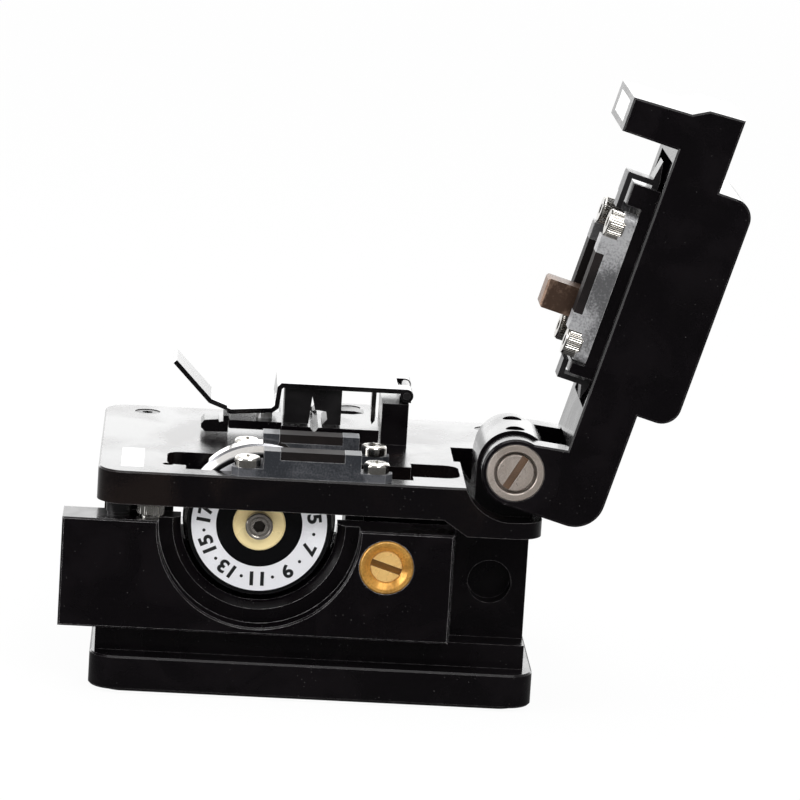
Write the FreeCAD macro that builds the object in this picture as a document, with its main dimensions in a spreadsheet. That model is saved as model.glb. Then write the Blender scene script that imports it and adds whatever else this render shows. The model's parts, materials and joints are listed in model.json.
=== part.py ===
"""Precision cleaver for single optical fibres, as a parametric FreeCAD document.

Frame: +Z up, +Y towards the lid hinge (the rear), +X along the fibre, the hinge
and the blade axle.  The origin is the centre of the underside, on the floor.
The lid stands open, the blade carriage is at its front stop and the fibre clamp
leaf is down.  Lengths are millimetres, angles are degrees.

Every driving size is a cell of the sheet "Sizes".  A Dim carries a size both as
a number and as the expression that binds a feature to its cells.
"""
import FreeCAD, Part
import math
import os
import Sketcher
from FreeCAD import Placement, Rotation, Vector

SIZES = [
    # base
    ("mat_thick", 0.6, "rubber mat under the base"),
    ("mat_inset", 2.0, "mat edge in from the base edge"),
    ("base_length", 65.0, "base and platform along Y"),
    ("base_width", 50.0, "base and platform along X"),
    ("base_thick", 5.0, "base plate"),
    ("corner_round", 4.0, "vertical corners of base and platform"),
    ("edge_break", 0.25, "broken edges of milled parts"),
    # main frame
    ("floor_thick", 3.6, "floor of the main frame"),
    ("frame_front", 31.8, "front of the frame, ahead of the centre"),
    ("frame_rear", 31.1, "rear of the frame, behind the centre"),
    ("floor_near", 21.0, "near edge of the frame floor"),
    ("wall_thick", 11.8, "far wall of the frame"),
    ("tower_front", 20.3, "front face of the rear tower"),
    ("tower_near", 16.6, "near face of the rear tower"),
    ("window_front", 22.5, "access window, ahead of the centre"),
    ("window_rear", 6.5, "access window, behind the centre"),
    ("window_sill", 15.9, "lower edge of the access window"),
    ("window_head", 24.5, "upper edge of the access window"),
    # platform
    ("platform_top", 33.2, "top of the platform above the floor"),
    ("platform_thick", 4.9, "platform"),
    ("step_front", 18.0, "start of the thicker rear end"),
    ("step_rear", 21.5, "end of the slope to the thicker rear end"),
    ("step_drop", 2.3, "how much lower the rear end reaches"),
    ("ledge_drop", 4.8, "ledge behind the hinge, below the top"),
    ("lobe_front", 22.6, "front end of the slot, ahead of the centre"),
    ("lobe_rear", 20.4, "rear end of the slot, behind the centre"),
    ("lobe_near", 18.6, "near edge of the slot ends"),
    ("lobe_far", 9.3, "far edge of the slot ends"),
    ("notch_front", 19.95, "front of the spring notch by the far ear"),
    ("notch_near", 6.1, "near end of the spring notch"),
    ("notch_far", -4.4, "far end of the spring notch"),
    ("magnet_length", 13.0, "lid magnet in the platform, along X"),
    ("magnet_width", 3.2, "lid magnet in the platform, along Y"),
    ("magnet_deep", 2.0, "lid magnets, thickness"),
    ("magnet_place", 27.6, "lid magnet ahead of the centre"),
    # hinge and lid
    ("hinge_place", 27.9, "hinge axis behind the centre"),
    ("hinge_rise", 2.6, "hinge axis above the platform"),
    ("open_angle", 106.0, "lid opening"),
    ("lid_near", 24.8, "near face of the lid"),
    ("lid_width", 20.2, "lid along X"),
    ("ear_thick", 4.0, "hinge ears of the lid"),
    ("ear_round", 4.95, "hinge ears, radius"),
    ("ear_gap", 0.4, "side gap between ear and hinge block"),
    ("recess_round", 7.45, "recess under the ears, radius about the hinge"),
    ("block_round", 5.4, "hinge block, radius about the hinge"),
    ("lid_inner", 6.1, "inner face of the lid above the hinge axis"),
    ("lid_outer", 13.9, "outer face of the lid above the hinge axis"),
    ("bump_outer", 19.6, "outer face of the grip above the hinge axis"),
    ("bump_start", 13.6, "rear end of the grip from the hinge axis"),
    ("bump_end", 48.2, "front end of the grip from the hinge axis"),
    ("bump_round", 2.9, "corners of the grip"),
    ("heel_round", 4.4, "rear upper corner of the lid"),
    ("lid_length", 59.2, "hinge axis to the front face of the lid"),
    ("hook_inner", 52.1, "hinge axis to the inner face of the hook"),
    ("hook_outer", 57.2, "hinge axis to the outer face of the hook"),
    ("hook_drop", 2.4, "end of the hook below the hinge axis"),
    ("pin_round", 2.0, "hinge pin, radius"),
    ("set_screw_round", 1.4, "set screws that lock the hinge pin, radius"),
    ("set_screw_pitch", 7.6, "distance between the set screws"),
    ("pin_head_round", 2.67, "head of the hinge pin, radius"),
    ("pin_head_deep", 1.5, "head of the hinge pin, length"),
    ("bush_round", 4.24, "hinge bushes, outer radius"),
    ("groove_round", 3.07, "groove round the pin head, radius"),
    ("run_gap", 0.03, "running fit, radial"),
    ("slot_cut", 1.1, "screwdriver slot of the hinge pin"),
    # anvils and clamp bars
    ("anvil_middle", -1.55, "middle of the anvils along Y"),
    ("anvil_length", 23.3, "anvil foot along Y"),
    ("anvil_foot", 1.3, "anvil foot, thickness"),
    ("anvil_deep", 3.35, "anvil along X"),
    ("anvil_height", 4.0, "anvil above the platform"),
    ("anvil_block", 14.2, "raised part of the anvil"),
    ("near_anvil_at", 23.03, "middle of the near anvil along X"),
    ("far_anvil_at", 10.25, "middle of the far anvil along X"),
    ("pad_length", 9.3, "rubber pad along Y"),
    ("pad_deep", 1.3, "rubber pad, thickness"),
    ("bar_middle", 29.65, "middle of the clamp bars from the hinge"),
    ("bar_length", 22.7, "clamp bar flange"),
    ("bar_back", 4.2, "back of the clamp bars above the hinge axis"),
    ("bar_flange", 1.9, "clamp bar flange, thickness"),
    ("bar_block", 14.4, "raised part of the clamp bar"),
    ("carrier_heel", 16.3, "rear end of the clamp carrier"),
    ("carrier_tip", 45.4, "front end of the clamp carrier"),
    ("carrier_near", 23.6, "near face of the clamp carrier"),
    ("carrier_far", 8.2, "far face of the clamp carrier"),
    ("carrier_lift", 1.7, "spring travel of the clamp carrier"),
    ("carrier_gap", 0.25, "gap round the clamp carrier in the lid"),
    ("hammer_start", 23.4, "rear face of the hammer from the hinge"),
    ("hammer_end", 27.8, "front face of the hammer from the hinge"),
    ("hammer_at", 16.6, "middle of the hammer along X"),
    ("hammer_width", 5.0, "hammer along X"),
    ("hammer_drop", 4.4, "face of the hammer below the hinge axis"),
    ("hammer_back", 4.0, "back of the hammer above the hinge axis"),
    ("hammer_lift", 5.9, "spring travel of the hammer"),
    # blade wheel
    ("wheel_place", -8.7, "blade axle along Y, at the front stop"),
    ("hub_clear", 1.0, "hub screw below the platform"),
    ("wheel_round", 10.95, "wheel flanges at the blade, radius"),
    ("wheel_front_round", 10.4, "front flange at the dial, radius"),
    ("blade_round", 11.2, "blade, radius"),
    ("blade_thick", 1.0, "blade"),
    ("blade_at", 16.6, "blade along X"),
    ("dial_round", 10.55, "dial, radius"),
    ("dial_face", 20.9, "front face of the dial along X"),
    ("dial_thick", 1.0, "dial"),
    ("wheel_back", 12.3, "back of the wheel along X"),
    ("hub_round", 3.85, "brass hub, radius"),
    ("axle_round", 2.0, "blade axle, radius"),
    ("travel", 11.0, "travel of the carriage"),
    # carriage
    ("plate_front", 37.3, "front end of the carriage, ahead of the centre"),
    ("plate_rear", 19.7, "rear end of the carriage, behind the centre"),
    ("plate_near", 24.5, "near face of the carriage"),
    ("plate_back", 17.2, "back of the carriage face plate"),
    ("plate_low", 9.7, "underside of the carriage"),
    ("plate_high", 25.9, "top of the carriage face plate"),
    ("body_high", 27.9, "top of the carriage body"),
    ("body_front", 29.0, "front of the carriage body, ahead of the centre"),
    ("body_rear", 6.6, "rear of the carriage body, behind the centre"),
    ("body_far", 5.3, "far face of the carriage body"),
    ("face_bore", 14.7, "bore in the face plate, radius"),
    ("cone_bore", 12.6, "mouth of the wheel well, radius"),
    ("well_gap", 0.25, "gap round the wheel"),
    ("well_floor", 12.0, "floor of the wheel well along X"),
    ("pillar_round", 4.2, "axle pillar, radius"),
    ("bearing_round", 3.0, "axle bearing, outer radius"),
    ("foot_low", 15.2, "underside of the carriage foot"),
    ("foot_thick", 2.5, "carriage foot"),
    ("brass_place", 10.05, "brass adjuster along Y, at the front stop"),
    ("brass_height", 20.7, "brass adjuster above the floor"),
    ("brass_round", 4.0, "brass bush, radius"),
    ("brass_slot_half", 0.38, "slot of the eccentric, half width"),
    ("brass_slot_deep", 0.8, "slot of the eccentric, depth"),
    ("bar_face", 0.0, "clamp bars, underside above the hinge axis with the lid shut"),
    ("bar_shift", 0.4, "near clamp bar, offset from the middle of the near anvil"),
    ("brass_inner", 2.3, "slotted eccentric, radius"),
    ("brass_deep", 4.0, "brass bush, length"),
    # linear guide
    ("rail_at", -4.5, "rail along X"),
    ("rail_width", 5.0, "rail"),
    ("rail_height", 3.7, "rail"),
    ("rail_length", 50.0, "rail"),
    ("slider_width", 12.0, "slider block along X"),
    ("slider_length", 24.0, "slider block along Y"),
    ("guide_gap", 0.06, "running fit of slider on rail"),
    # fibre holder and clamp leaf
    ("leaf_near", -3.9, "near edge of the clamp leaf"),
    ("leaf_width", 12.7, "clamp leaf along X"),
    ("leaf_thick", 0.7, "clamp leaf sheet"),
    ("leaf_axis_place", 12.9, "leaf pin behind the centre"),
    ("leaf_axis_rise", 7.6, "leaf pin above the platform"),
    ("knuckle_round", 1.0, "leaf knuckles, outer radius"),
    ("tab_place", 7.65, "bent-down tab of the leaf along Y"),
    ("tab_width", 3.0, "bent-down tab of the leaf along X"),
    ("leaf_pin_round", 0.55, "leaf pin, radius"),
    ("holder_height", 2.1, "fibre holder above the platform"),
    ("holder_far", -24.0, "far end of the fibre holder"),
    ("holder_front", 5.7, "front of the fibre holder, ahead of the centre"),
    ("holder_rear", 9.0, "rear of the fibre holder, behind the centre"),
    ("fibre_place", -0.75, "fibre groove along Y"),
    ("groove_deep", 0.9, "fibre groove"),
    ("hinge_post_front", 9.3, "front of the leaf hinge post"),
    ("hinge_post_rear", 13.3, "rear of the leaf hinge post"),
    ("arm_low", 1.3, "underside of the holder arm above the platform"),
    ("arm_high", 2.6, "top of the holder arm above the platform"),
    ("arm_front", 13.7, "front end of the holder arm, ahead of the centre"),
    # screws
    ("cap_round", 1.9, "cap screw head, radius"),
    ("cap_height", 2.0, "cap screw head, height"),
    ("shank_round", 1.0, "cap screw shank, radius"),
    ("hex_flats", 1.5, "hexagon socket across flats"),
    ("pan_height", 1.5, "pan head screw, head height"),
]

doc = FreeCAD.newDocument("FibreCleaver")
sheet = doc.addObject("Spreadsheet::Sheet", "Sizes")
NODES = []


class Dim:
    """A size as a number and as a spreadsheet expression."""

    def __init__(self, value, text):
        self.value = float(value)
        self.text = text

    @staticmethod
    def of(item):
        """Wrap a plain number as a size."""
        return item if isinstance(item, Dim) else Dim(item, repr(float(item)))

    def joined(self, other, sign, value):
        """Join two sizes with a sign, as a number and as text."""
        return Dim(value, "(%s %s %s)" % (self.text, sign, Dim.of(other).text))

    def __add__(self, other):
        return self.joined(other, "+", self.value + Dim.of(other).value)

    def __radd__(self, other):
        return Dim.of(other) + self

    def __sub__(self, other):
        return self.joined(other, "-", self.value - Dim.of(other).value)

    def __rsub__(self, other):
        return Dim.of(other) - self

    def __mul__(self, other):
        return self.joined(other, "*", self.value * Dim.of(other).value)

    def __rmul__(self, other):
        return Dim.of(other) * self

    def __truediv__(self, other):
        return self.joined(other, "/", self.value / Dim.of(other).value)

    def __neg__(self):
        return Dim(-self.value, "(0 - %s)" % self.text)


def root(item):
    """Square root of a size."""
    return Dim(math.sqrt(item.value), "sqrt(%s)" % item.text)


def fill_sheet():
    """Write every driving size as a plain number with an alias."""
    cells = {}
    for row, (alias, value, note) in enumerate(SIZES, start=1):
        sheet.set("A%d" % row, note)
        sheet.set("B%d" % row, str(value))
        sheet.setAlias("B%d" % row, alias)
        cells[alias] = Dim(value, "Sizes." + alias)
    doc.recompute()
    return cells


class Cells:
    """The sheet's sizes by name."""

    def __init__(self, cells):
        self.__dict__.update(cells)


S = Cells(fill_sheet())


def bind(thing, prop, size):
    """Set a property and tie it to its cells."""
    thing.setExpression(prop, Dim.of(size).text)


# ---------------------------------------------------------------- bodies

def new_body(label):
    """Start a labelled body and list it as a node."""
    body = doc.addObject("PartDesign::Body", label)
    body.Label = label
    NODES.append(body)
    return body


def put(body, x=0.0, y=0.0, z=0.0, turn=None):
    """Place a body; turn is an angle about X."""
    if turn is not None:
        body.Placement = Placement(Vector(), Rotation(Vector(1, 0, 0), Dim.of(turn).value))
        bind(body, "Placement.Rotation.Angle", turn)
    for axis, size in (("x", x), ("y", y), ("z", z)):
        bind(body, "Placement.Base." + axis, size)


def origin_plane(body, role):
    """Find one of the body's own origin planes by its role."""
    return [item for item in body.Origin.OriginFeatures if item.Role == role][0]


def sketch_on(body, role, offset=0.0):
    """A sketch on an origin plane of its own body, moved along the normal."""
    sketch = body.newObject("Sketcher::SketchObject", body.Label + "_sketch")
    sketch.AttachmentSupport = (origin_plane(body, role), "")
    sketch.MapMode = "FlatFace"
    bind(sketch, "AttachmentOffset.Base.z", offset)
    return sketch


def pin_point(sketch, geo, end, x, y):
    """Fix one vertex by its distances from the sketch origin; None leaves one free."""
    for kind, size in (("DistanceX", x), ("DistanceY", y)):
        if size is None:
            continue
        size = Dim.of(size)
        number = sketch.addConstraint(
            Sketcher.Constraint(kind, -1, 1, geo, end, size.value))
        bind(sketch, "Constraints[%d]" % number, size)


def polygon(sketch, points):
    """A closed outline through points, each vertex bound to its cells."""
    first = sketch.GeometryCount
    spots = [Vector(Dim.of(x).value, Dim.of(y).value, 0) for x, y in points]
    count = len(points)
    for i in range(count):
        sketch.addGeometry(Part.LineSegment(spots[i], spots[(i + 1) % count]))
    for i in range(count):
        follow = first + (i + 1) % count
        sketch.addConstraint(Sketcher.Constraint("Coincident", first + i, 2, follow, 1))
    for i, (x, y) in enumerate(points):
        pin_point(sketch, first + i, 1, x, y)


def rectangle(sketch, x0, y0, x1, y1):
    """A rectangle bound by two opposite corners."""
    polygon(sketch, [(x0, y0), (x1, y0), (x1, y1), (x0, y1)])


def circle(sketch, x, y, radius):
    """A circle bound by its centre and radius."""
    x, y, radius = Dim.of(x), Dim.of(y), Dim.of(radius)
    geo = sketch.addGeometry(Part.Circle(Vector(x.value, y.value, 0), Vector(0, 0, 1), radius.value))
    pin_point(sketch, geo, 3, x, y)
    number = sketch.addConstraint(Sketcher.Constraint("Radius", geo, radius.value))
    bind(sketch, "Constraints[%d]" % number, radius)


def pad(body, sketch, length):
    """Draw a sketch out along its normal."""
    feature = body.newObject("PartDesign::Pad", body.Label + "_pad")
    feature.Profile = sketch
    bind(feature, "Length", length)
    body.Tip = feature
    return feature


def pocket(body, sketch, length, reverse=True):
    """Cut along the sketch normal (reverse) or against it."""
    before = settled_volume(body)
    feature = body.newObject("PartDesign::Pocket", body.Label + "_pocket")
    feature.Profile = sketch
    feature.Reversed = reverse
    bind(feature, "Length", length)
    body.Tip = feature
    check_cut(body, before)
    return feature


def revolve(body, sketch):
    """Turn a profile about the X axis of its sketch."""
    feature = body.newObject("PartDesign::Revolution", body.Label + "_turned")
    feature.Profile = sketch
    feature.ReferenceAxis = (sketch, ["H_Axis"])
    feature.Angle = 360
    body.Tip = feature
    return feature


def settled_volume(body):
    """Volume of the body once the document is up to date."""
    doc.recompute()
    return body.Shape.Volume


def check_cut(body, before):
    """Stop the build when a cut removed nothing."""
    doc.recompute()
    if body.Shape.Volume > before - 1e-6:
        raise RuntimeError("a cut of %s removed nothing" % body.Label)


def edges_where(body, test):
    """Names of the body's edges whose midpoint and direction pass a test."""
    doc.recompute()
    names = []
    for i, edge in enumerate(body.Tip.Shape.Edges, start=1):
        middle = edge.valueAt((edge.FirstParameter + edge.LastParameter) / 2)
        if test(edge, middle):
            names.append("Edge%d" % i)
    return names


def soften(body, kind, names, size):
    """Fillet or chamfer the named edges of the body's tip."""
    base = body.Tip
    feature = body.newObject("PartDesign::" + kind, body.Label + "_" + kind.lower())
    feature.Base = (base, names)
    bind(feature, "Radius" if kind == "Fillet" else "Size", size)
    body.Tip = feature
    doc.recompute()
    if "Invalid" in feature.State:
        raise RuntimeError("%s failed: %s" % (feature.Name, feature.getStatusString()))
    return feature


def along(edge, axis):
    """True for a straight edge parallel to an axis."""
    if edge.Curve.TypeId != "Part::GeomLine":
        return False
    direction = edge.Curve.Direction
    return abs(abs(direction.dot(axis)) - 1) < 1e-6


SLOT_OVERRUN = 0.2
PIN_SLOT_TURN = 58
BRASS_SLOT_TURN = 21


def slot_points(reach, half, degrees):
    """Corners of a screwdriver slot across a head, turned from +Y by an angle in degrees."""
    c, s = math.cos(math.radians(degrees)), math.sin(math.radians(degrees))
    return [(-reach * c + half * s, -reach * s - half * c),
            (reach * c + half * s, reach * s - half * c),
            (reach * c - half * s, reach * s + half * c),
            (-reach * c - half * s, -reach * s + half * c)]


def near_to(value, target):
    """True when a value lies on a size."""
    return abs(value - Dim.of(target).value) < 1e-3


X_AXIS = Vector(1, 0, 0)
Z_AXIS = Vector(0, 0, 1)


def prism_x(label, points, x0, length):
    """A part with one outline in the Y-Z plane, drawn out along X."""
    body = new_body(label)
    sketch = sketch_on(body, "YZ_Plane", x0)
    polygon(sketch, points)
    pad(body, sketch, length)
    return body


def cut_x(body, points, x0, length):
    """Cut an outline in the Y-Z plane out of a body along X."""
    sketch = sketch_on(body, "YZ_Plane", x0)
    polygon(sketch, points)
    pocket(body, sketch, length)


def cut_z(body, points, z0, length):
    """Cut an outline in the X-Y plane out of a body along Z."""
    sketch = sketch_on(body, "XY_Plane", z0)
    polygon(sketch, points)
    pocket(body, sketch, length)


def box_points(x0, y0, x1, y1):
    """Corners of a rectangle in order."""
    return [(x0, y0), (x1, y0), (x1, y1), (x0, y1)]


def bore_x(body, y, z, radius, x0, length):
    """Bore one hole along X."""
    sketch = sketch_on(body, "YZ_Plane", x0)
    circle(sketch, y, z, radius)
    pocket(body, sketch, length)


def bore_z(body, spots, radius, z0, length):
    """Bore equal holes along Z."""
    sketch = sketch_on(body, "XY_Plane", z0)
    for x, y in spots:
        circle(sketch, x, y, radius)
    pocket(body, sketch, length)


# ---------------------------------------------------------------- shared places

half_width = S.base_width / 2
half_length = S.base_length / 2
base_top = S.mat_thick + S.base_thick
floor_top = base_top + S.floor_thick
platform_low = S.platform_top - S.platform_thick
step_low = platform_low - S.step_drop
hinge_height = S.platform_top + S.hinge_rise
wall_near = S.wall_thick - half_width
ledge_top = S.platform_top - S.ledge_drop
lid_far = S.lid_near - S.lid_width
block_near = S.lid_near - S.ear_thick - S.ear_gap
block_far = lid_far + S.ear_thick + S.ear_gap
well_round = S.blade_round + S.well_gap
wheel_height = platform_low - S.cap_round - S.hub_clear
window_near = S.near_anvil_at - S.anvil_deep / 2 - 0.1
window_front_end = S.wheel_place - S.blade_round + 0.1
window_rear_end = S.wheel_place + S.travel + S.blade_round - 0.1
axle_relief = S.pillar_round + 0.4
foot_high = S.foot_low + S.foot_thick
leaf_height = S.platform_top + S.leaf_axis_rise
leaf_far = S.leaf_near - S.leaf_width


# ---------------------------------------------------------------- base and frame

def rounded_slab(label, inset, z0, thick):
    """A plate with rounded vertical corners, inset from the base outline."""
    body = new_body(label)
    sketch = sketch_on(body, "XY_Plane", z0)
    rectangle(sketch, inset - half_width, inset - half_length,
              half_width - inset, half_length - inset)
    pad(body, sketch, thick)
    names = edges_where(body, lambda edge, middle: along(edge, Z_AXIS))
    soften(body, "Fillet", names, S.corner_round - inset / 2)
    return body


def top_and_bottom_edges(body, low, high):
    """Edges that lie in the top or the bottom face."""
    return edges_where(body, lambda edge, middle: near_to(middle.z, low) or near_to(middle.z, high))


def make_base():
    """Rubber mat and the plate that stands on it."""
    rounded_slab("rubber_mat", S.mat_inset, Dim.of(0.0), S.mat_thick)
    plate = rounded_slab("base_plate", Dim.of(0.0), S.mat_thick, S.base_thick)
    names = top_and_bottom_edges(plate, S.mat_thick, base_top)
    soften(plate, "Chamfer", names, S.edge_break)
    spots = base_screw_spots()
    bore_z(plate, spots, 1.25, S.mat_thick, S.base_thick)
    bore_z(plate, spots, 2.3, S.mat_thick, 2.6)


def base_screw_spots():
    """Four screws hold the frame floor to the base plate."""
    x = half_width - 7.0
    y = half_length - 8.0
    return [(-x, -y), (-x, y), (x - 5.0, -y), (x - 5.0, y)]


def make_base_screws():
    """Screws from below that hold the base plate to the frame."""
    body = new_body("base_screws")
    sketch = sketch_on(body, "XY_Plane", S.mat_thick + 0.6)
    for x, y in base_screw_spots():
        circle(sketch, x, y, 2.2)
    pad(body, sketch, 2.0)
    shank = sketch_on(body, "XY_Plane", S.mat_thick + 2.6)
    for x, y in base_screw_spots():
        circle(shank, x, y, 1.25)
    pad(body, shank, S.base_thick - 2.6 + 2.6)
    return body


def make_main_frame():
    """Floor, far wall with its access window, and the rear tower under the hinge."""
    body = new_body("main_frame")
    floor = sketch_on(body, "XY_Plane", base_top)
    rectangle(floor, -half_width, -S.frame_front, S.floor_near, S.frame_rear)
    pad(body, floor, S.floor_thick)
    wall = sketch_on(body, "YZ_Plane", -half_width)
    polygon(wall, [(-S.frame_front, floor_top), (S.frame_rear, floor_top),
                   (S.frame_rear, step_low), (S.step_rear, step_low),
                   (S.step_front, platform_low), (-S.frame_front, platform_low)])
    pad(body, wall, S.wall_thick)
    tower = sketch_on(body, "YZ_Plane", wall_near)
    rectangle(tower, S.tower_front, floor_top, S.frame_rear, step_low)
    pad(body, tower, S.tower_near - wall_near)
    cut_x(body, box_points(-S.window_front, S.window_sill, S.window_rear, S.window_head),
          -half_width, S.wall_thick)
    names = edges_where(body, lambda edge, middle: along(edge, X_AXIS)
                        and middle.y > -S.window_front.value - 0.1
                        and middle.y < S.window_rear.value + 0.1
                        and middle.z > S.window_sill.value - 0.1
                        and middle.z < S.window_head.value + 0.1)
    soften(body, "Fillet", names, 2.0)
    tower_slot = sketch_on(body, "YZ_Plane", S.tower_near - 3.0)
    circle(tower_slot, S.tower_front + 5.4, floor_top + 8.4, 3.2)
    pocket(body, tower_slot, 3.0)
    bore_z(body, base_screw_spots(), 1.25, base_top, 2.6)
    bore_z(body, rail_screw_spots(), 0.9, base_top, S.floor_thick)
    bore_z(body, platform_screw_spots(), 1.0, step_low - 4.0, 7.0)
    return body


# ---------------------------------------------------------------- linear guide

def rail_screw_spots():
    """Places of the rail screws along the rail."""
    rear = S.tower_front - 0.3
    pitch = S.rail_length / 4
    return [(S.rail_at, rear - pitch * (k + 0.5)) for k in range(4)]


def make_rail():
    """Profile rail with waisted flanks and counterbored screw holes."""
    body = new_body("slide_rail")
    sketch = sketch_on(body, "XZ_Plane", 0.3 - S.tower_front)
    half = S.rail_width / 2
    waist = half - 0.5
    polygon(sketch, [(S.rail_at - half, floor_top), (S.rail_at + half, floor_top),
                     (S.rail_at + half, floor_top + 1.3), (S.rail_at + waist, floor_top + 1.8),
                     (S.rail_at + waist, floor_top + 2.5), (S.rail_at + half, floor_top + 3.0),
                     (S.rail_at + half, floor_top + S.rail_height),
                     (S.rail_at - half, floor_top + S.rail_height),
                     (S.rail_at - half, floor_top + 3.0), (S.rail_at - waist, floor_top + 2.5),
                     (S.rail_at - waist, floor_top + 1.8), (S.rail_at - half, floor_top + 1.3)])
    pad(body, sketch, S.rail_length)
    bore_z(body, rail_screw_spots(), 0.9, floor_top, S.rail_height)
    bore_z(body, rail_screw_spots(), 1.6, floor_top + S.rail_height - 1.4, 1.4)
    return body


def make_rail_screws():
    """Cap screws that hold the rail to the frame's floor."""
    body = new_body("rail_screws")
    head = sketch_on(body, "XY_Plane", floor_top + S.rail_height - 1.4)
    for x, y in rail_screw_spots():
        circle(head, x, y, 1.55)
    pad(body, head, 1.2)
    shank = sketch_on(body, "XY_Plane", floor_top - 2.6)
    for x, y in rail_screw_spots():
        circle(shank, x, y, 0.9)
    pad(body, shank, S.rail_height - 1.4 + 2.6)
    return body


def make_slider():
    """Slider block that runs on the rail and carries the carriage foot."""
    body = new_body("slider_block")
    middle = S.wheel_place
    sketch = sketch_on(body, "XZ_Plane", -(middle + S.slider_length / 2))
    half = S.slider_width / 2
    inner = S.rail_width / 2 + S.guide_gap
    waist = inner - 0.5
    low = floor_top + 1.5 - 0.4
    roof = floor_top + S.rail_height + S.guide_gap
    polygon(sketch, [(S.rail_at - half, low), (S.rail_at - inner, low),
                     (S.rail_at - inner, floor_top + 1.3 + S.guide_gap),
                     (S.rail_at - waist, floor_top + 1.8 + S.guide_gap),
                     (S.rail_at - waist, floor_top + 2.5 - S.guide_gap),
                     (S.rail_at - inner, floor_top + 3.0 - S.guide_gap),
                     (S.rail_at - inner, roof), (S.rail_at + inner, roof),
                     (S.rail_at + inner, floor_top + 3.0 - S.guide_gap),
                     (S.rail_at + waist, floor_top + 2.5 - S.guide_gap),
                     (S.rail_at + waist, floor_top + 1.8 + S.guide_gap),
                     (S.rail_at + inner, floor_top + 1.3 + S.guide_gap),
                     (S.rail_at + inner, low), (S.rail_at + half, low),
                     (S.rail_at + half, S.foot_low), (S.rail_at - half, S.foot_low)])
    pad(body, sketch, S.slider_length)
    bore_z(body, slider_screw_spots(), 0.9, S.foot_low - 1.0, 1.0)
    return body


def slider_screw_spots():
    """Places of the four screws that hold the carriage to its slider block."""
    return [(S.rail_at - 4.0, S.wheel_place - 6.0), (S.rail_at + 4.0, S.wheel_place - 6.0),
            (S.rail_at - 4.0, S.wheel_place + 6.0), (S.rail_at + 4.0, S.wheel_place + 6.0)]


def make_slider_screws():
    """Cap screws that hold the carriage's foot to the slider block."""
    body = new_body("slider_screws")
    head = sketch_on(body, "XY_Plane", foot_high - 1.2)
    for x, y in slider_screw_spots():
        circle(head, x, y, 1.6)
    pad(body, head, 1.2)
    shank = sketch_on(body, "XY_Plane", S.foot_low - 1.0)
    for x, y in slider_screw_spots():
        circle(shank, x, y, 0.9)
    pad(body, shank, S.foot_thick - 1.2 + 1.0)
    return body


# ---------------------------------------------------------------- platform

def platform_screw_spots():
    """Places of the screws that hold the platform to the frame."""
    x = half_width - 4.8
    return [(-x, -26.0), (-x, 26.4), (12.0, 24.6 + 2.0)]


def make_platform():
    """Top plate with the hinge recess, the wheel slot and the magnet seat."""
    body = new_body("platform")
    sketch = sketch_on(body, "YZ_Plane", -half_width)
    polygon(sketch, [(-half_length, platform_low), (S.step_front, platform_low),
                     (S.step_rear, step_low), (half_length, step_low),
                     (half_length, S.platform_top), (-half_length, S.platform_top)])
    pad(body, sketch, S.base_width)
    names = edges_where(body, lambda edge, middle: along(edge, Z_AXIS))
    soften(body, "Fillet", names, S.corner_round)
    names = edges_where(body, lambda edge, middle: near_to(middle.z, S.platform_top))
    soften(body, "Chamfer", names, S.edge_break)
    window = sketch_on(body, "XY_Plane", step_low)
    polygon(window, [(S.lobe_far, -S.lobe_front), (S.lobe_near, -S.lobe_front),
                     (S.lobe_near, window_front_end), (window_near, window_front_end),
                     (window_near, window_rear_end), (S.lobe_near, window_rear_end),
                     (S.lobe_near, S.lobe_rear), (S.lobe_far, S.lobe_rear),
                     (S.lobe_far, window_rear_end), (S.well_floor, window_rear_end),
                     (S.well_floor, S.anvil_middle - S.anvil_length / 2 - 1.0),
                     (S.lobe_far, S.anvil_middle - S.anvil_length / 2 - 1.0)])
    pocket(body, window, S.platform_thick + S.step_drop)
    names = edges_where(body, lambda edge, middle: along(edge, Z_AXIS)
                        and (near_to(middle.y, -S.lobe_front) or near_to(middle.y, S.lobe_rear)))
    soften(body, "Fillet", names, 2.2)
    drop = S.hinge_rise
    start = S.hinge_place - root(S.recess_round * S.recess_round - drop * drop)
    recess = sketch_on(body, "YZ_Plane", lid_far - 0.4)
    arc_recess(recess, start)
    pocket(body, recess, half_width - lid_far + 0.4)
    cut_z(body, box_points(S.notch_far, S.notch_front, S.notch_near, S.hinge_place),
          ledge_top, S.ledge_drop)
    cut_z(body, box_points(S.body_far - 0.4, S.wheel_place - axle_relief,
                           S.well_floor, S.wheel_place + S.travel + axle_relief),
          platform_low, wheel_height + axle_relief - platform_low)
    seat = S.magnet_place
    cut_z(body, magnet_outline(seat), S.platform_top - S.magnet_deep, S.magnet_deep)
    bore_z(body, [(S.lid_near - 6.5, -S.magnet_place + 5.2)], 0.8, S.platform_top - 2.5, 2.5)
    bore_z(body, platform_screw_spots(), 1.0, step_low, S.platform_thick + S.step_drop)
    bore_z(body, platform_screw_spots(), 1.95, S.platform_top - 1.6, 1.6)
    bore_z(body, [(x, y) for x, y, _ in anvil_screw_spots()], 0.8, platform_low, S.platform_thick)
    return body


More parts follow.
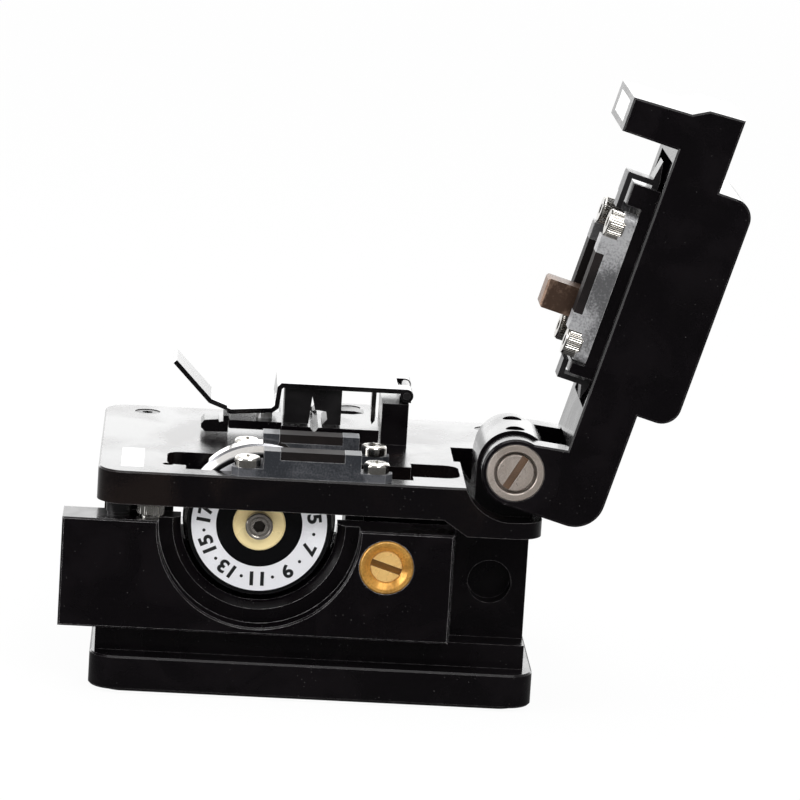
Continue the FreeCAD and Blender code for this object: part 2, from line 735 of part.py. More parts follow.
def arc_recess(sketch, start):
    """Quarter-round recess concentric with the hinge, then the level ledge."""
    y0, z0, r = S.hinge_place, hinge_height, S.recess_round
    drop = hinge_height - ledge_top
    foot = y0 - root(r * r - drop * drop)
    low = ledge_top
    top = S.platform_top
    far = half_length + 1.0
    arc = Part.ArcOfCircle(
        Part.Circle(Vector(y0.value, z0.value, 0), Vector(0, 0, 1), r.value),
        math.atan2(top.value - z0.value, start.value - y0.value) + 2 * math.pi,
        math.atan2(low.value - z0.value, foot.value - y0.value) + 2 * math.pi)
    sketch.addGeometry(arc)
    spots = [(foot, low), (far, low), (far, top), (start, top)]
    for i in range(3):
        a = Vector(spots[i][0].value, spots[i][1].value, 0)
        b = Vector(spots[i + 1][0].value, spots[i + 1][1].value, 0)
        sketch.addGeometry(Part.LineSegment(a, b))
    pin_point(sketch, 0, 3, y0, z0)
    pin_point(sketch, 1, 1, None, low)
    for i in range(3):
        if i > 0:
            pin_point(sketch, i + 1, 1, spots[i][0], spots[i][1])
        sketch.addConstraint(Sketcher.Constraint("Coincident", i, 2, i + 1, 1))
    pin_point(sketch, 3, 2, spots[3][0], spots[3][1])
    sketch.addConstraint(Sketcher.Constraint("Coincident", 3, 2, 0, 1))


def magnet_outline(place):
    """Outline of a lid magnet in X and Y."""
    middle = (S.lid_near + lid_far) / 2
    return box_points(middle - S.magnet_length / 2, -place - S.magnet_width / 2,
                      middle + S.magnet_length / 2, -place + S.magnet_width / 2)


def make_front_magnet():
    """Magnet in the front of the platform that holds the lid shut."""
    body = new_body("front_magnet")
    sketch = sketch_on(body, "XY_Plane", S.platform_top - S.magnet_deep)
    polygon(sketch, magnet_outline(S.magnet_place))
    pad(body, sketch, S.magnet_deep)
    return body


def make_platform_screws():
    """Sunk hexagon socket screws that hold the platform to the frame."""
    body = new_body("platform_screws")
    head = sketch_on(body, "XY_Plane", S.platform_top - 1.6)
    for x, y in platform_screw_spots()[:2]:
        circle(head, x, y, S.cap_round)
    pad(body, head, 1.5)
    shank = sketch_on(body, "XY_Plane", step_low - 3.0)
    for x, y in platform_screw_spots()[:2]:
        circle(shank, x, y, 1.0)
    pad(body, shank, S.platform_top - 1.6 - step_low + 3.0)
    hexagons(body, platform_screw_spots()[:2], S.platform_top - 1.1, 1.0)
    return body


def hexagons(body, spots, z0, deep):
    """Cut hexagon sockets that open upwards."""
    sketch = sketch_on(body, "XY_Plane", z0)
    reach = S.hex_flats / math.sqrt(3)
    for x, y in spots:
        points = []
        for k in range(6):
            points.append((x + reach * math.cos(k * math.pi / 3),
                           y + reach * math.sin(k * math.pi / 3)))
        polygon(sketch, points)
    pocket(body, sketch, deep)


# ---------------------------------------------------------------- anvils

def anvil_screw_spots():
    """Two pan head screws on each anvil foot."""
    reach = S.anvil_length / 2 - 2.3
    spots = []
    for x in (S.near_anvil_at, S.far_anvil_at):
        for y in (S.anvil_middle - reach, S.anvil_middle + reach):
            spots.append((x, y, S.platform_top + S.anvil_foot))
    return spots


def make_anvil(label, middle_x):
    """Foot, raised block and the seat for its rubber pad."""
    z0 = S.platform_top
    a = S.anvil_middle
    foot = S.anvil_length / 2
    block = S.anvil_block / 2
    gap = S.pad_length / 2
    high = z0 + S.anvil_height
    body = prism_x(label, [
        (a - foot, z0), (a + foot, z0), (a + foot, z0 + S.anvil_foot),
        (a + block, z0 + S.anvil_foot), (a + block, high), (a + gap, high),
        (a + gap, high - S.pad_deep), (a - gap, high - S.pad_deep), (a - gap, high),
        (a - block, high), (a - block, z0 + S.anvil_foot), (a - foot, z0 + S.anvil_foot)],
        middle_x - S.anvil_deep / 2, S.anvil_deep)
    spots = [(x, y) for x, y, _ in anvil_screw_spots() if near_to(x.value, middle_x)]
    bore_z(body, spots, 0.8, z0, S.anvil_foot)
    names = edges_where(body, lambda edge, middle: along(edge, Z_AXIS)
                        and abs(abs(middle.y - a.value) - foot.value) < 1e-3)
    soften(body, "Chamfer", names, 1.0)
    return body


def make_anvil_pads():
    """Rubber pads in the seats of both anvils."""
    body = new_body("anvil_pads")
    sketch = sketch_on(body, "XY_Plane", S.platform_top + S.anvil_height - S.pad_deep)
    for x in (S.near_anvil_at, S.far_anvil_at):
        rectangle(sketch, x - S.anvil_deep / 2, S.anvil_middle - S.pad_length / 2,
                  x + S.anvil_deep / 2, S.anvil_middle + S.pad_length / 2)
    pad(body, sketch, S.pad_deep - 0.05)
    return body


def make_anvil_screws():
    """Pan head screws with cross recesses."""
    body = new_body("anvil_screws")
    low = S.platform_top + S.anvil_foot
    head = sketch_on(body, "XY_Plane", low)
    shank = sketch_on(body, "XY_Plane", platform_low + 1.8)
    cross = sketch_on(body, "XY_Plane", low + S.pan_height - 0.6)
    for x, y, _ in anvil_screw_spots():
        circle(head, x, y, S.cap_round)
        circle(shank, x, y, 0.8)
        polygon(cross, cross_points(x, y, 0.2, 0.95))
    pad(body, head, S.pan_height)
    names = edges_where(body, lambda edge, middle: near_to(middle.z, low + S.pan_height))
    soften(body, "Fillet", names, 0.5)
    pad(body, shank, S.platform_thick - 1.8 + S.anvil_foot)
    pocket(body, cross, 0.6)
    return body


def cross_points(x, y, half, arm):
    """Corners of a cross recess about a spot."""
    return [(x - half, y - arm), (x + half, y - arm), (x + half, y - half), (x + arm, y - half),
            (x + arm, y + half), (x + half, y + half), (x + half, y + arm), (x - half, y + arm),
            (x - half, y + half), (x - arm, y + half), (x - arm, y - half), (x - half, y - half)]


# ---------------------------------------------------------------- hinge

def make_hinge_block():
    """Block between the lid's ears, seated on the recess and its ledge."""
    body = new_body("hinge_block")
    y0, z0 = S.hinge_place, hinge_height
    r, seat = S.block_round, S.recess_round
    front = y0 - r
    meet = z0 - root(seat * seat - r * r)
    drop = hinge_height - ledge_top
    foot = y0 - root(seat * seat - drop * drop)
    sketch = sketch_on(body, "YZ_Plane", block_far)
    axis = Vector(0, 0, 1)
    centre = Vector(y0.value, z0.value, 0)
    top = Part.ArcOfCircle(Part.Circle(centre, axis, r.value), -math.pi / 6, math.pi)
    sketch.addGeometry(top)
    end = (y0 + r * math.cos(math.pi / 6), z0 - r * 0.5)
    heel = (y0 + 2.8, ledge_top)
    spots = [(front, z0), (front, meet)]
    sketch.addGeometry(Part.LineSegment(Vector(front.value, z0.value, 0),
                                        Vector(front.value, meet.value, 0)))
    seat_arc = Part.ArcOfCircle(
        Part.Circle(centre, axis, seat.value),
        math.atan2(meet.value - z0.value, front.value - y0.value) + 2 * math.pi,
        math.atan2(ledge_top.value - z0.value, foot.value - y0.value) + 2 * math.pi)
    sketch.addGeometry(seat_arc)
    sketch.addGeometry(Part.LineSegment(Vector(foot.value, ledge_top.value, 0),
                                        Vector(heel[0].value, heel[1].value, 0)))
    sketch.addGeometry(Part.LineSegment(Vector(heel[0].value, heel[1].value, 0),
                                        Vector(end[0].value, end[1].value, 0)))
    pin_point(sketch, 0, 3, y0, z0)
    pin_point(sketch, 1, 1, spots[0][0], spots[0][1])
    pin_point(sketch, 1, 2, spots[1][0], spots[1][1])
    pin_point(sketch, 2, 3, y0, z0)
    pin_point(sketch, 3, 1, None, ledge_top)
    pin_point(sketch, 4, 1, heel[0], heel[1])
    pin_point(sketch, 4, 2, None, end[1])
    for a, a_end, b, b_end in ((0, 2, 1, 1), (1, 2, 2, 1), (2, 2, 3, 1), (3, 2, 4, 1), (4, 2, 0, 1)):
        sketch.addConstraint(Sketcher.Constraint("Coincident", a, a_end, b, b_end))
    pad(body, sketch, block_near - block_far)
    bore_x(body, y0, z0, S.pin_round, block_far, block_near - block_far)
    bore_z(body, set_screw_spots(), S.set_screw_round, z0, r + 1.0)
    return body


def set_screw_spots():
    """Places of the two set screws, above the pin."""
    middle = (block_near + block_far) / 2
    half = S.set_screw_pitch / 2
    return [(middle - half, S.hinge_place), (middle + half, S.hinge_place)]


def make_hinge_set_screws():
    """Set screws that lock the pin in the hinge block."""
    body = new_body("hinge_set_screws")
    low = hinge_height + S.pin_round
    sketch = sketch_on(body, "XY_Plane", low)
    for x, y in set_screw_spots():
        circle(sketch, x, y, S.set_screw_round)
    pad(body, sketch, S.block_round - S.pin_round - 0.9)
    hexagons(body, set_screw_spots(), hinge_height + S.block_round - 1.9, 1.0)
    return body


def make_hinge_pin():
    """Slotted pin locked in the hinge block by the set screws."""
    body = new_body("hinge_pin")
    sketch = sketch_on(body, "XZ_Plane")
    near = S.lid_near - 0.15
    far = lid_far + 0.3
    shoulder = near - S.pin_head_deep
    polygon(sketch, [(far, 0.0), (near, 0.0), (near, S.pin_head_round),
                     (shoulder, S.pin_head_round), (shoulder, S.pin_round), (far, S.pin_round)])
    revolve(body, sketch)
    slot = sketch_on(body, "YZ_Plane", near - 0.7)
    polygon(slot, slot_points(S.pin_head_round + SLOT_OVERRUN, S.slot_cut / 2, PIN_SLOT_TURN))
    pocket(body, slot, 0.7)
    put(body, 0.0, S.hinge_place, hinge_height)
    return body


# ---------------------------------------------------------------- lid

def to_lid(body):
    """Place a part drawn for the closed lid, hinge at its origin, as opened."""
    put(body, 0.0, S.hinge_place, hinge_height, -S.open_angle)


def lid_outline():
    """Side outline of the closed lid, from the hinge end round by the hook."""
    return [(5.0, 0.0), (5.0, S.lid_outer), (-S.bump_start, S.lid_outer),
            (-S.bump_start, S.bump_outer), (-S.bump_end, S.bump_outer),
            (-S.bump_end, S.lid_outer), (-S.lid_length, S.lid_outer),
            (0.3 - S.lid_length, 8.6), (-S.hook_outer - 0.4, 6.35), (-S.hook_outer, -S.hook_drop),
            (-S.hook_inner, -S.hook_drop), (-S.hook_inner, S.lid_inner),
            (-5.6, S.lid_inner), (-4.6, 0.0)]


def make_lid_shell():
    """Milled lid: grip, hook, hinge ears and the pockets for the clamp."""
    body = new_body("lid_shell")
    sketch = sketch_on(body, "YZ_Plane", lid_far)
    polygon(sketch, lid_outline())
    pad(body, sketch, S.lid_width)
    names = edges_where(body, lambda edge, middle: along(edge, X_AXIS)
                        and near_to(middle.z, S.bump_outer))
    soften(body, "Fillet", names, S.bump_round)
    names = edges_where(body, lambda edge, middle: along(edge, X_AXIS)
                        and near_to(middle.y, 5.0) and near_to(middle.z, S.lid_outer))
    soften(body, "Fillet", names, S.heel_round)
    ears = sketch_on(body, "YZ_Plane", lid_far)
    circle(ears, 0.0, 0.0, S.ear_round)
    pad(body, ears, S.lid_width)
    cut_x(body, box_points(-5.95, -6.0, 6.0, 9.6), block_far - S.ear_gap,
          block_near - block_far + 2 * S.ear_gap)
    names = edges_where(body, lambda edge, middle: near_to(middle.x, S.lid_near)
                        or near_to(middle.x, lid_far))
    soften(body, "Chamfer", names, S.edge_break)
    gap = S.carrier_gap
    cut_z(body, box_points(S.carrier_far - gap, -S.carrier_tip - 4.6,
                           S.carrier_near + gap, 4.2 - S.carrier_heel),
          S.lid_inner, S.carrier_lift + 0.3)
    cut_z(body, box_points(S.hammer_at - S.hammer_width / 2 - gap, -S.hammer_end - gap,
                           S.hammer_at + S.hammer_width / 2 + gap, gap - S.hammer_start),
          S.lid_inner, S.hammer_back + S.hammer_lift + 0.5 - S.lid_inner)
    bore_z(body, [hammer_rod_spot()], 1.55, S.lid_inner, 11.5)
    bore_z(body, carrier_rod_spots(), 1.05, S.lid_inner, 8.0)
    bore_x(body, 0.0, 0.0, S.bush_round, lid_far, S.lid_width)
    cut_z(body, hook_magnet_outline(), -S.hook_drop, S.magnet_deep)
    to_lid(body)
    return body


def hammer_rod_spot():
    """Place of the rod that the hammer rises on."""
    return (S.hammer_at, -(S.hammer_start + S.hammer_end) / 2)


def carrier_rod_spots():
    """Places of the two rods that guide the clamp carrier."""
    return [(S.hammer_at, -19.5), (S.hammer_at, -41.5)]


def hook_magnet_outline():
    """Outline of the magnet in the lid's hook."""
    middle = (S.lid_near + lid_far) / 2
    centre = (S.hook_inner + S.hook_outer) / 2
    return box_points(middle - S.magnet_length / 2, -centre - S.magnet_width / 2,
                      middle + S.magnet_length / 2, -centre + S.magnet_width / 2)


def make_hook_magnet():
    """Magnet in the lid's hook that meets the platform's."""
    body = new_body("hook_magnet")
    sketch = sketch_on(body, "XY_Plane", -S.hook_drop)
    polygon(sketch, hook_magnet_outline())
    pad(body, sketch, S.magnet_deep)
    to_lid(body)
    return body


def make_hinge_bush(label, x0, head_room):
    """Nickel bush in one ear; the near one has the groove round the pin head."""
    body = new_body(label)
    sketch = sketch_on(body, "XZ_Plane")
    x1 = x0 + S.ear_thick
    bore = S.pin_round + S.run_gap
    if head_room:
        step = x1 - S.pin_head_deep - 0.4
        polygon(sketch, [(x0, bore), (step, bore), (step, S.groove_round),
                         (x1, S.groove_round), (x1, S.bush_round), (x0, S.bush_round)])
    else:
        polygon(sketch, [(x0, bore), (x1, bore), (x1, S.bush_round), (x0, S.bush_round)])
    revolve(body, sketch)
    put(body, 0.0, S.hinge_place, hinge_height, -S.open_angle)
    return body


# ---------------------------------------------------------------- spring clamp in the lid

def make_carrier():
    """Black carrier that floats in the lid, with the hammer's window."""
    low = S.bar_back
    body = new_body("clamp_carrier")
    sketch = sketch_on(body, "YZ_Plane", S.carrier_far)
    lug = 3.3
    polygon(sketch, [(-S.carrier_heel, S.lid_inner), (-S.carrier_tip, S.lid_inner),
                     (-S.carrier_tip, low - 2.2), (lug - S.carrier_tip, low - 2.2),
                     (lug - S.carrier_tip, low), (-S.carrier_heel - 1.6, low),
                     (-S.carrier_heel - 1.6, low - 1.8), (-S.carrier_heel, low - 1.8)])
    pad(body, sketch, S.carrier_near - S.carrier_far)
    gap = 0.3
    cut_z(body, box_points(S.hammer_at - S.hammer_width / 2 - gap, -S.hammer_end - gap,
                           S.hammer_at + S.hammer_width / 2 + gap, gap - S.hammer_start),
          low, S.lid_inner - low)
    bore_z(body, carrier_rod_spots(), 1.0, low, S.lid_inner - low)
    spots = bar_screw_spots()
    bore_z(body, spots, 0.8, low, S.lid_inner - low)
    to_lid(body)
    return body


def make_carrier_rods():
    """Guide rods of the clamp carrier."""
    body = new_body("carrier_rods")
    sketch = sketch_on(body, "XY_Plane", S.bar_back)
    for x, y in carrier_rod_spots():
        circle(sketch, x, y, 1.0)
    pad(body, sketch, 7.5)
    to_lid(body)
    return body


def near_bar_at():
    """Middle of the near clamp bar along X; the far one lies right over its anvil."""
    return S.near_anvil_at - S.bar_shift


def bar_ends():
    """Both ends of a clamp bar along its length."""
    half = S.bar_length / 2
    return S.bar_middle - half, S.bar_middle + half


def bar_screw_spots():
    """Cap screws at both ends of both clamp bars."""
    start, end = bar_ends()
    spots = []
    for x in (near_bar_at(), S.far_anvil_at):
        spots.append((x, -start - 2.2))
        spots.append((x, 2.2 - end))
    return spots


def make_clamp_bar(label, middle_x):
    """Upper twin of an anvil: flange, raised part and pad seat, facing down."""
    start, end = bar_ends()
    half = S.bar_block / 2
    gap = S.pad_length / 2
    c = S.bar_middle
    back = S.bar_back
    flange = back - S.bar_flange
    face = S.bar_face
    body = prism_x(label, [
        (-start, back), (-end, back), (-end, flange), (-c - half, flange), (-c - half, face),
        (-c - gap, face), (-c - gap, face + S.pad_deep), (gap - c, face + S.pad_deep),
        (gap - c, face), (half - c, face), (half - c, flange), (-start, flange)],
        middle_x - S.anvil_deep / 2, S.anvil_deep)
    spots = [(x, y) for x, y in bar_screw_spots() if abs(x.value - middle_x.value) < 1.0]
    bore_z(body, spots, 0.8, flange, S.bar_flange)
    names = edges_where(body, lambda edge, middle: along(edge, Z_AXIS)
                        and (near_to(middle.y, -start) or near_to(middle.y, -end)))
    soften(body, "Fillet", names, 1.2)
    to_lid(body)
    return body


def make_clamp_pads():
    """Rubber pads in the seats of both clamp bars."""
    body = new_body("clamp_pads")
    sketch = sketch_on(body, "XY_Plane", S.bar_face + 0.05)
    for x in (near_bar_at(), S.far_anvil_at):
        rectangle(sketch, x - S.anvil_deep / 2, -S.bar_middle - S.pad_length / 2,
                  x + S.anvil_deep / 2, S.pad_length / 2 - S.bar_middle)
    pad(body, sketch, S.pad_deep - 0.05)
    to_lid(body)
    return body


def make_clamp_screws():
    """Knurled cap screws, heads down, that hold the bars to the carrier."""
    body = new_body("clamp_screws")
    low = S.bar_back - S.bar_flange - S.cap_height
    head = sketch_on(body, "XY_Plane", low)
    for x, y in bar_screw_spots():
        circle(head, x, y, S.cap_round)
    pad(body, head, S.cap_height)
    shank = sketch_on(body, "XY_Plane", low + S.cap_height)
    for x, y in bar_screw_spots():
        circle(shank, x, y, 0.8)
    pad(body, shank, S.lid_inner - low - S.cap_height - 0.1)
    hexagons(body, bar_screw_spots(), low, 1.0)
    to_lid(body)
    return body


def make_clip(label, reach, side):
    """Bent strip that keeps the carrier's end, with its pointed spring tail.

    side is 1 at the tip end and -1 at the heel end of the carrier.
    """
    thick = 0.8
    gap = 0.45
    low = S.bar_back - 2.2 - gap - thick if side > 0 else S.bar_back - 1.8 - gap - thick
    tail = 3.0 if side > 0 else 2.0
    leg = 4.2 if side > 0 else 1.6
    high = low + 3.9

    def at(distance, height):
        """A point of the clip, from its distance along the carrier and its height."""
        return (-(reach + side * distance), height)

    body = prism_x(label, [
        at(-leg, low), at(gap + thick, low), at(gap + thick, high - 0.2),
        at(gap + thick + tail, high + 0.3), at(gap + thick, high + 0.9),
        at(0.0, high + 0.9), at(0.0, high), at(gap, high), at(gap, low + thick), at(-leg, low + thick)],
        S.carrier_near - 5.0, Dim.of(4.0))
    to_lid(body)
    return body


def make_hammer():
    """Hammer that breaks the fibre, on its rod."""
    body = prism_x("hammer_block", [
        (-S.hammer_start, S.hammer_back), (-S.hammer_end, S.hammer_back),
        (-S.hammer_end, -S.hammer_drop), (-S.hammer_start, -S.hammer_drop)],
        S.hammer_at - S.hammer_width / 2, S.hammer_width)
    names = edges_where(body, lambda edge, middle: near_to(middle.z, -S.hammer_drop))
    soften(body, "Chamfer", names, 0.3)
    to_lid(body)
    rod = new_body("hammer_rod")
    sketch = sketch_on(rod, "XY_Plane", S.hammer_back)
    x, y = hammer_rod_spot()
    circle(sketch, x, y, 1.5)
    pad(rod, sketch, 7.0)
    to_lid(rod)


# ---------------------------------------------------------------- carriage

def make_carriage():
    """Face plate with the dial bore, body with the wheel well, and the guide foot."""
    body = new_body("carriage_body")
    plate = sketch_on(body, "YZ_Plane", S.plate_back)
    rectangle(plate, -S.plate_front, S.plate_low, S.plate_rear, S.plate_high)
    pad(body, plate, S.plate_near - S.plate_back)
    block = sketch_on(body, "YZ_Plane", S.body_far)
    left = S.wheel_place - S.cone_bore
    right = S.wheel_place + S.cone_bore
    sill = S.window_sill + 5.5
    polygon(block, [(-S.body_front, S.plate_low), (S.body_rear, S.plate_low),
                    (S.body_rear, S.body_high), (right, S.body_high), (right, sill),
                    (left, sill), (left, S.body_high), (-S.body_front, S.body_high)])
    pad(body, block, S.plate_back - S.body_far)
    pillar = sketch_on(body, "YZ_Plane", S.body_far)
    rectangle(pillar, S.wheel_place - S.pillar_round, sill - 1.0,
              S.wheel_place + S.pillar_round, wheel_height)
    pad(body, pillar, S.well_floor - S.body_far)
    crown = sketch_on(body, "YZ_Plane", S.body_far)
    circle(crown, S.wheel_place, wheel_height, S.pillar_round)
    pad(body, crown, S.well_floor - S.body_far)
    foot = sketch_on(body, "YZ_Plane", S.rail_at - S.slider_width / 2)
    half = S.slider_length / 2
    rectangle(foot, S.wheel_place - half, S.foot_low, S.wheel_place + half, foot_high)
    pad(body, foot, S.body_far - S.rail_at + S.slider_width / 2)
    wheel_well(body)
    bore_x(body, S.wheel_place, wheel_height, S.bearing_round, S.body_far,
           S.well_floor - S.body_far)
    bore_x(body, S.brass_place, S.brass_height, S.brass_round,
           S.plate_near - S.brass_deep, S.brass_deep)
    bore_z(body, slider_screw_spots(), 0.9, S.foot_low, S.foot_thick)
    bore_z(body, slider_screw_spots(), 1.65, foot_high - 1.2, 1.2)
    bore_z(body, height_screw_spots(), 1.0, S.plate_high - 5.0, 5.0)
    return body


def wheel_well(body):
    """Counterbore, cone and well, all concentric with the blade axle."""
    bore_x(body, S.wheel_place, wheel_height, well_round, S.well_floor,
           S.plate_near - S.well_floor)
    mouth = S.dial_face + 0.4
    bore_x(body, S.wheel_place, wheel_height, S.face_bore, mouth, S.plate_near - mouth)
    cone = body.newObject("PartDesign::SubtractiveCone", "cone_mouth")
    deep = S.cone_bore - well_round
    bind(cone, "Radius1", well_round)
    bind(cone, "Radius2", S.cone_bore)
    bind(cone, "Height", deep)
    cone.AttachmentSupport = (origin_plane(body, "YZ_Plane"), "")
    cone.MapMode = "FlatFace"
    bind(cone, "AttachmentOffset.Base.x", S.wheel_place)
    bind(cone, "AttachmentOffset.Base.y", wheel_height)
    bind(cone, "AttachmentOffset.Base.z", mouth - deep)
    body.Tip = cone
    doc.recompute()
    names = edges_where(body, lambda edge, middle: near_to(middle.x, S.plate_near))
    soften(body, "Chamfer", names, S.edge_break)


def height_screw_spots():
    """Places of the blade height screw and its lock screw."""
    return [(S.plate_back + 3.4, -24.6), (S.plate_back + 3.4, -29.2)]


def make_height_screws():
    """Blade height screw with its washer, and the black lock screw beside it."""
    bright, black = height_screw_spots()
    for label, spot in (("blade_height_screw", bright), ("height_lock_screw", black)):
        body = new_body(label)
        washer = sketch_on(body, "XY_Plane", S.plate_high)
        circle(washer, spot[0], spot[1], 1.7)
        pad(body, washer, 0.5)
        head = sketch_on(body, "XY_Plane", S.plate_high + 0.5)
        circle(head, spot[0], spot[1], S.cap_round)
        pad(body, head, 1.5)
        shank = sketch_on(body, "XY_Plane", S.plate_high - 4.5)
        circle(shank, spot[0], spot[1], S.shank_round)
        pad(body, shank, 4.5)


def turned(label, points):
    """A part turned about the blade axle; points are (along X, radius)."""
    body = new_body(label)
    sketch = sketch_on(body, "XZ_Plane")
    polygon(sketch, points)
    revolve(body, sketch)
    put(body, 0.0, S.wheel_place, wheel_height)
    return body


def make_axle_bearing():
    """Bearing bush of the blade axle."""
    bore = S.axle_round + S.run_gap
    turned("axle_bearing", [(S.body_far, bore), (S.well_floor, bore),
                            (S.well_floor, S.bearing_round), (S.body_far, S.bearing_round)])


def make_brass_adjuster():
    """Brass bush in the face plate and the slotted eccentric that turns in it."""
    x0 = S.plate_near - S.brass_deep
    near = S.plate_near + 0.1
    bush = new_body("brass_bush")
    sketch = sketch_on(bush, "XZ_Plane")
    bore = S.brass_inner + S.run_gap
    polygon(sketch, [(x0, bore), (near, bore), (near, S.brass_round), (x0, S.brass_round)])
    revolve(bush, sketch)
    put(bush, 0.0, S.brass_place, S.brass_height)
    body = new_body("eccentric_screw")
    sketch = sketch_on(body, "XZ_Plane")
    face = near - 0.3
    polygon(sketch, [(x0 + 0.1, 0.0), (face, 0.0), (face, S.brass_inner), (x0 + 0.1, S.brass_inner)])
    revolve(body, sketch)
    slot = sketch_on(body, "YZ_Plane", face - S.brass_slot_deep)
    polygon(slot, slot_points(S.brass_inner + SLOT_OVERRUN, S.brass_slot_half, BRASS_SLOT_TURN))
    pocket(body, slot, S.brass_slot_deep)
    put(body, 0.0, S.brass_place, S.brass_height)


# ---------------------------------------------------------------- blade wheel

def make_wheel():
    """Axle, two flanges with the blade between them, dial, hub and its screw."""
    blade_back = S.blade_at - S.blade_thick / 2
    blade_front = S.blade_at + S.blade_thick / 2
    dial_back = S.dial_face - S.dial_thick
    seat = S.axle_round + 1.6
    turned("wheel_axle", [(S.body_far + 0.3, 0.0), (dial_back, 0.0), (dial_back, S.axle_round),
                          (S.body_far + 0.3, S.axle_round)])
    turned("rear_flange", [(S.wheel_back, S.axle_round), (blade_front, S.axle_round),
                           (blade_front, seat), (blade_back, seat),
                           (blade_back, S.wheel_round - 0.3), (blade_back - 0.3, S.wheel_round),
                           (S.wheel_back + 0.3, S.wheel_round), (S.wheel_back, S.wheel_round - 0.3)])
    turned("blade", [(blade_back, seat), (blade_front, seat), (blade_front, S.wheel_round - 0.5),
                     (S.blade_at, S.blade_round), (blade_back, S.wheel_round - 0.5)])
    turned("front_flange", [(blade_front, S.axle_round), (dial_back, S.axle_round),
                            (dial_back, S.wheel_front_round), (blade_front + 0.3, S.wheel_round),
                            (blade_front, S.wheel_round - 0.3)])
    turned("dial", [(dial_back, S.hub_round), (S.dial_face, S.hub_round),
                    (S.dial_face, S.dial_round - 0.15), (S.dial_face - 0.15, S.dial_round),
                    (dial_back, S.dial_round)])
    turned("brass_hub", [(dial_back, S.shank_round), (S.dial_face + 0.25, S.shank_round),
                         (S.dial_face + 0.25, S.hub_round - 0.2), (S.dial_face + 0.05, S.hub_round),
                         (dial_back, S.hub_round)])
    make_hub_screw(dial_back)


def make_hub_screw(dial_back):
    """Hexagon socket screw that holds the wheel on its axle."""
    body = new_body("hub_screw")
    sketch = sketch_on(body, "XZ_Plane")
    low = S.dial_face + 0.25
    near = low + 1.3
    polygon(sketch, [(dial_back, 0.0), (near, 0.0), (near, S.cap_round - 0.2),
                     (near - 0.2, S.cap_round), (low, S.cap_round), (low, S.shank_round),
                     (dial_back, S.shank_round)])
    revolve(body, sketch)
    socket = sketch_on(body, "YZ_Plane", near - 1.0)
    reach = S.hex_flats / math.sqrt(3)
    points = []
    for k in range(6):
        turn = math.pi / 6 + k * math.pi / 3
        points.append((reach * math.cos(turn), reach * math.sin(turn)))
    polygon(socket, points)
    pocket(body, socket, 1.0)
    put(body, 0.0, S.wheel_place, wheel_height)
    return body


# ---------------------------------------------------------------- fibre holder

def make_holder_base():
    """Grooved block that the coated fibre lies in."""
    z0 = S.platform_top
    high = z0 + S.holder_height
    g = S.fibre_place
    width = S.groove_deep * 0.7
    body = prism_x("holder_base", [
        (-S.holder_front, z0), (S.holder_rear, z0), (S.holder_rear, high), (g + width, high),
        (g, high - S.groove_deep), (g - width, high), (-S.holder_front, high)],
        S.holder_far, S.leaf_near - S.holder_far)
    bore_z(body, holder_screw_spots(), 0.9, z0, S.holder_height)
    bore_z(body, holder_screw_spots(), 1.7, high - 1.0, 1.0)
    return body


def holder_screw_spots():
    """Places of the screws that hold the fibre holder to the platform."""
    return [(S.holder_far + 3.0, 5.0), (S.holder_far + 3.0, -2.4)]


def make_holder_screws():
    """Sunk socket screws of the fibre holder."""
    body = new_body("holder_screws")
    high = S.platform_top + S.holder_height
    head = sketch_on(body, "XY_Plane", high - 1.0)
    for x, y in holder_screw_spots():
        circle(head, x, y, 1.65)
    pad(body, head, 0.9)
    shank = sketch_on(body, "XY_Plane", S.platform_top)
    for x, y in holder_screw_spots():
        circle(shank, x, y, 0.9)
    pad(body, shank, S.holder_height - 1.0)
    hexagons(body, holder_screw_spots(), high - 0.8, 0.7)
    return body


def make_holder_arm():
    """Arm of the fibre holder."""
    z0 = S.platform_top
    body = prism_x("holder_arm", box_points(-S.arm_front, z0 + S.arm_low,
                                            -S.holder_front, z0 + S.arm_high),
                   S.leaf_near - 8.0, Dim.of(8.0))
    names = edges_where(body, lambda edge, middle: along(edge, X_AXIS)
                        and near_to(middle.y, -S.arm_front))
    soften(body, "Fillet", names, 0.3)
    return body


def make_holder_knob():
    """Notched finger knob at the end of the arm."""
    z0 = S.platform_top
    a = S.arm_front
    body = prism_x("holder_knob", [
        (-a, z0 + 0.4), (-a, z0 + 2.9), (-a - 0.8, z0 + 2.9), (-a - 0.8, z0 + 2.0),
        (-a - 1.4, z0 + 1.9), (-a - 1.5, z0 + 2.3), (-a - 3.6, z0 + 2.1), (-a - 4.1, z0 + 1.5),
        (-a - 4.1, z0 + 0.9), (-a - 3.4, z0 + 0.3)], S.leaf_near - 6.5, Dim.of(5.0))
    return body


def make_leaf_magnet():
    """Magnet that holds the clamp leaf down."""
    body = new_body("leaf_magnet")
    sketch = sketch_on(body, "XY_Plane", S.platform_top + S.arm_high)
    circle(sketch, S.leaf_near - 3.5, -S.arm_front + 5.4, 1.2)
    pad(body, sketch, 0.85)
    return body


def make_leaf_post():
    """Post with the middle lug of the leaf hinge."""
    z0 = S.platform_top
    shoulder = leaf_height - S.knuckle_round - 0.3
    body = prism_x("leaf_post", box_points(S.hinge_post_front, z0, S.hinge_post_rear, shoulder),
                   leaf_far, S.leaf_width)
    lug = sketch_on(body, "YZ_Plane", lug_far())
    y0 = S.leaf_axis_place
    r = S.knuckle_round - 0.1
    rectangle(lug, y0 - r, shoulder - 0.5, y0 + r, leaf_height)
    pad(body, lug, lug_width())
    crown = sketch_on(body, "YZ_Plane", lug_far())
    circle(crown, y0, leaf_height, r)
    pad(body, crown, lug_width())
    bore_x(body, y0, leaf_height, S.leaf_pin_round, lug_far(), lug_width())
    return body


def lug_far():
    """Far side of the leaf block's hinge lug."""
    return leaf_far + 4.0


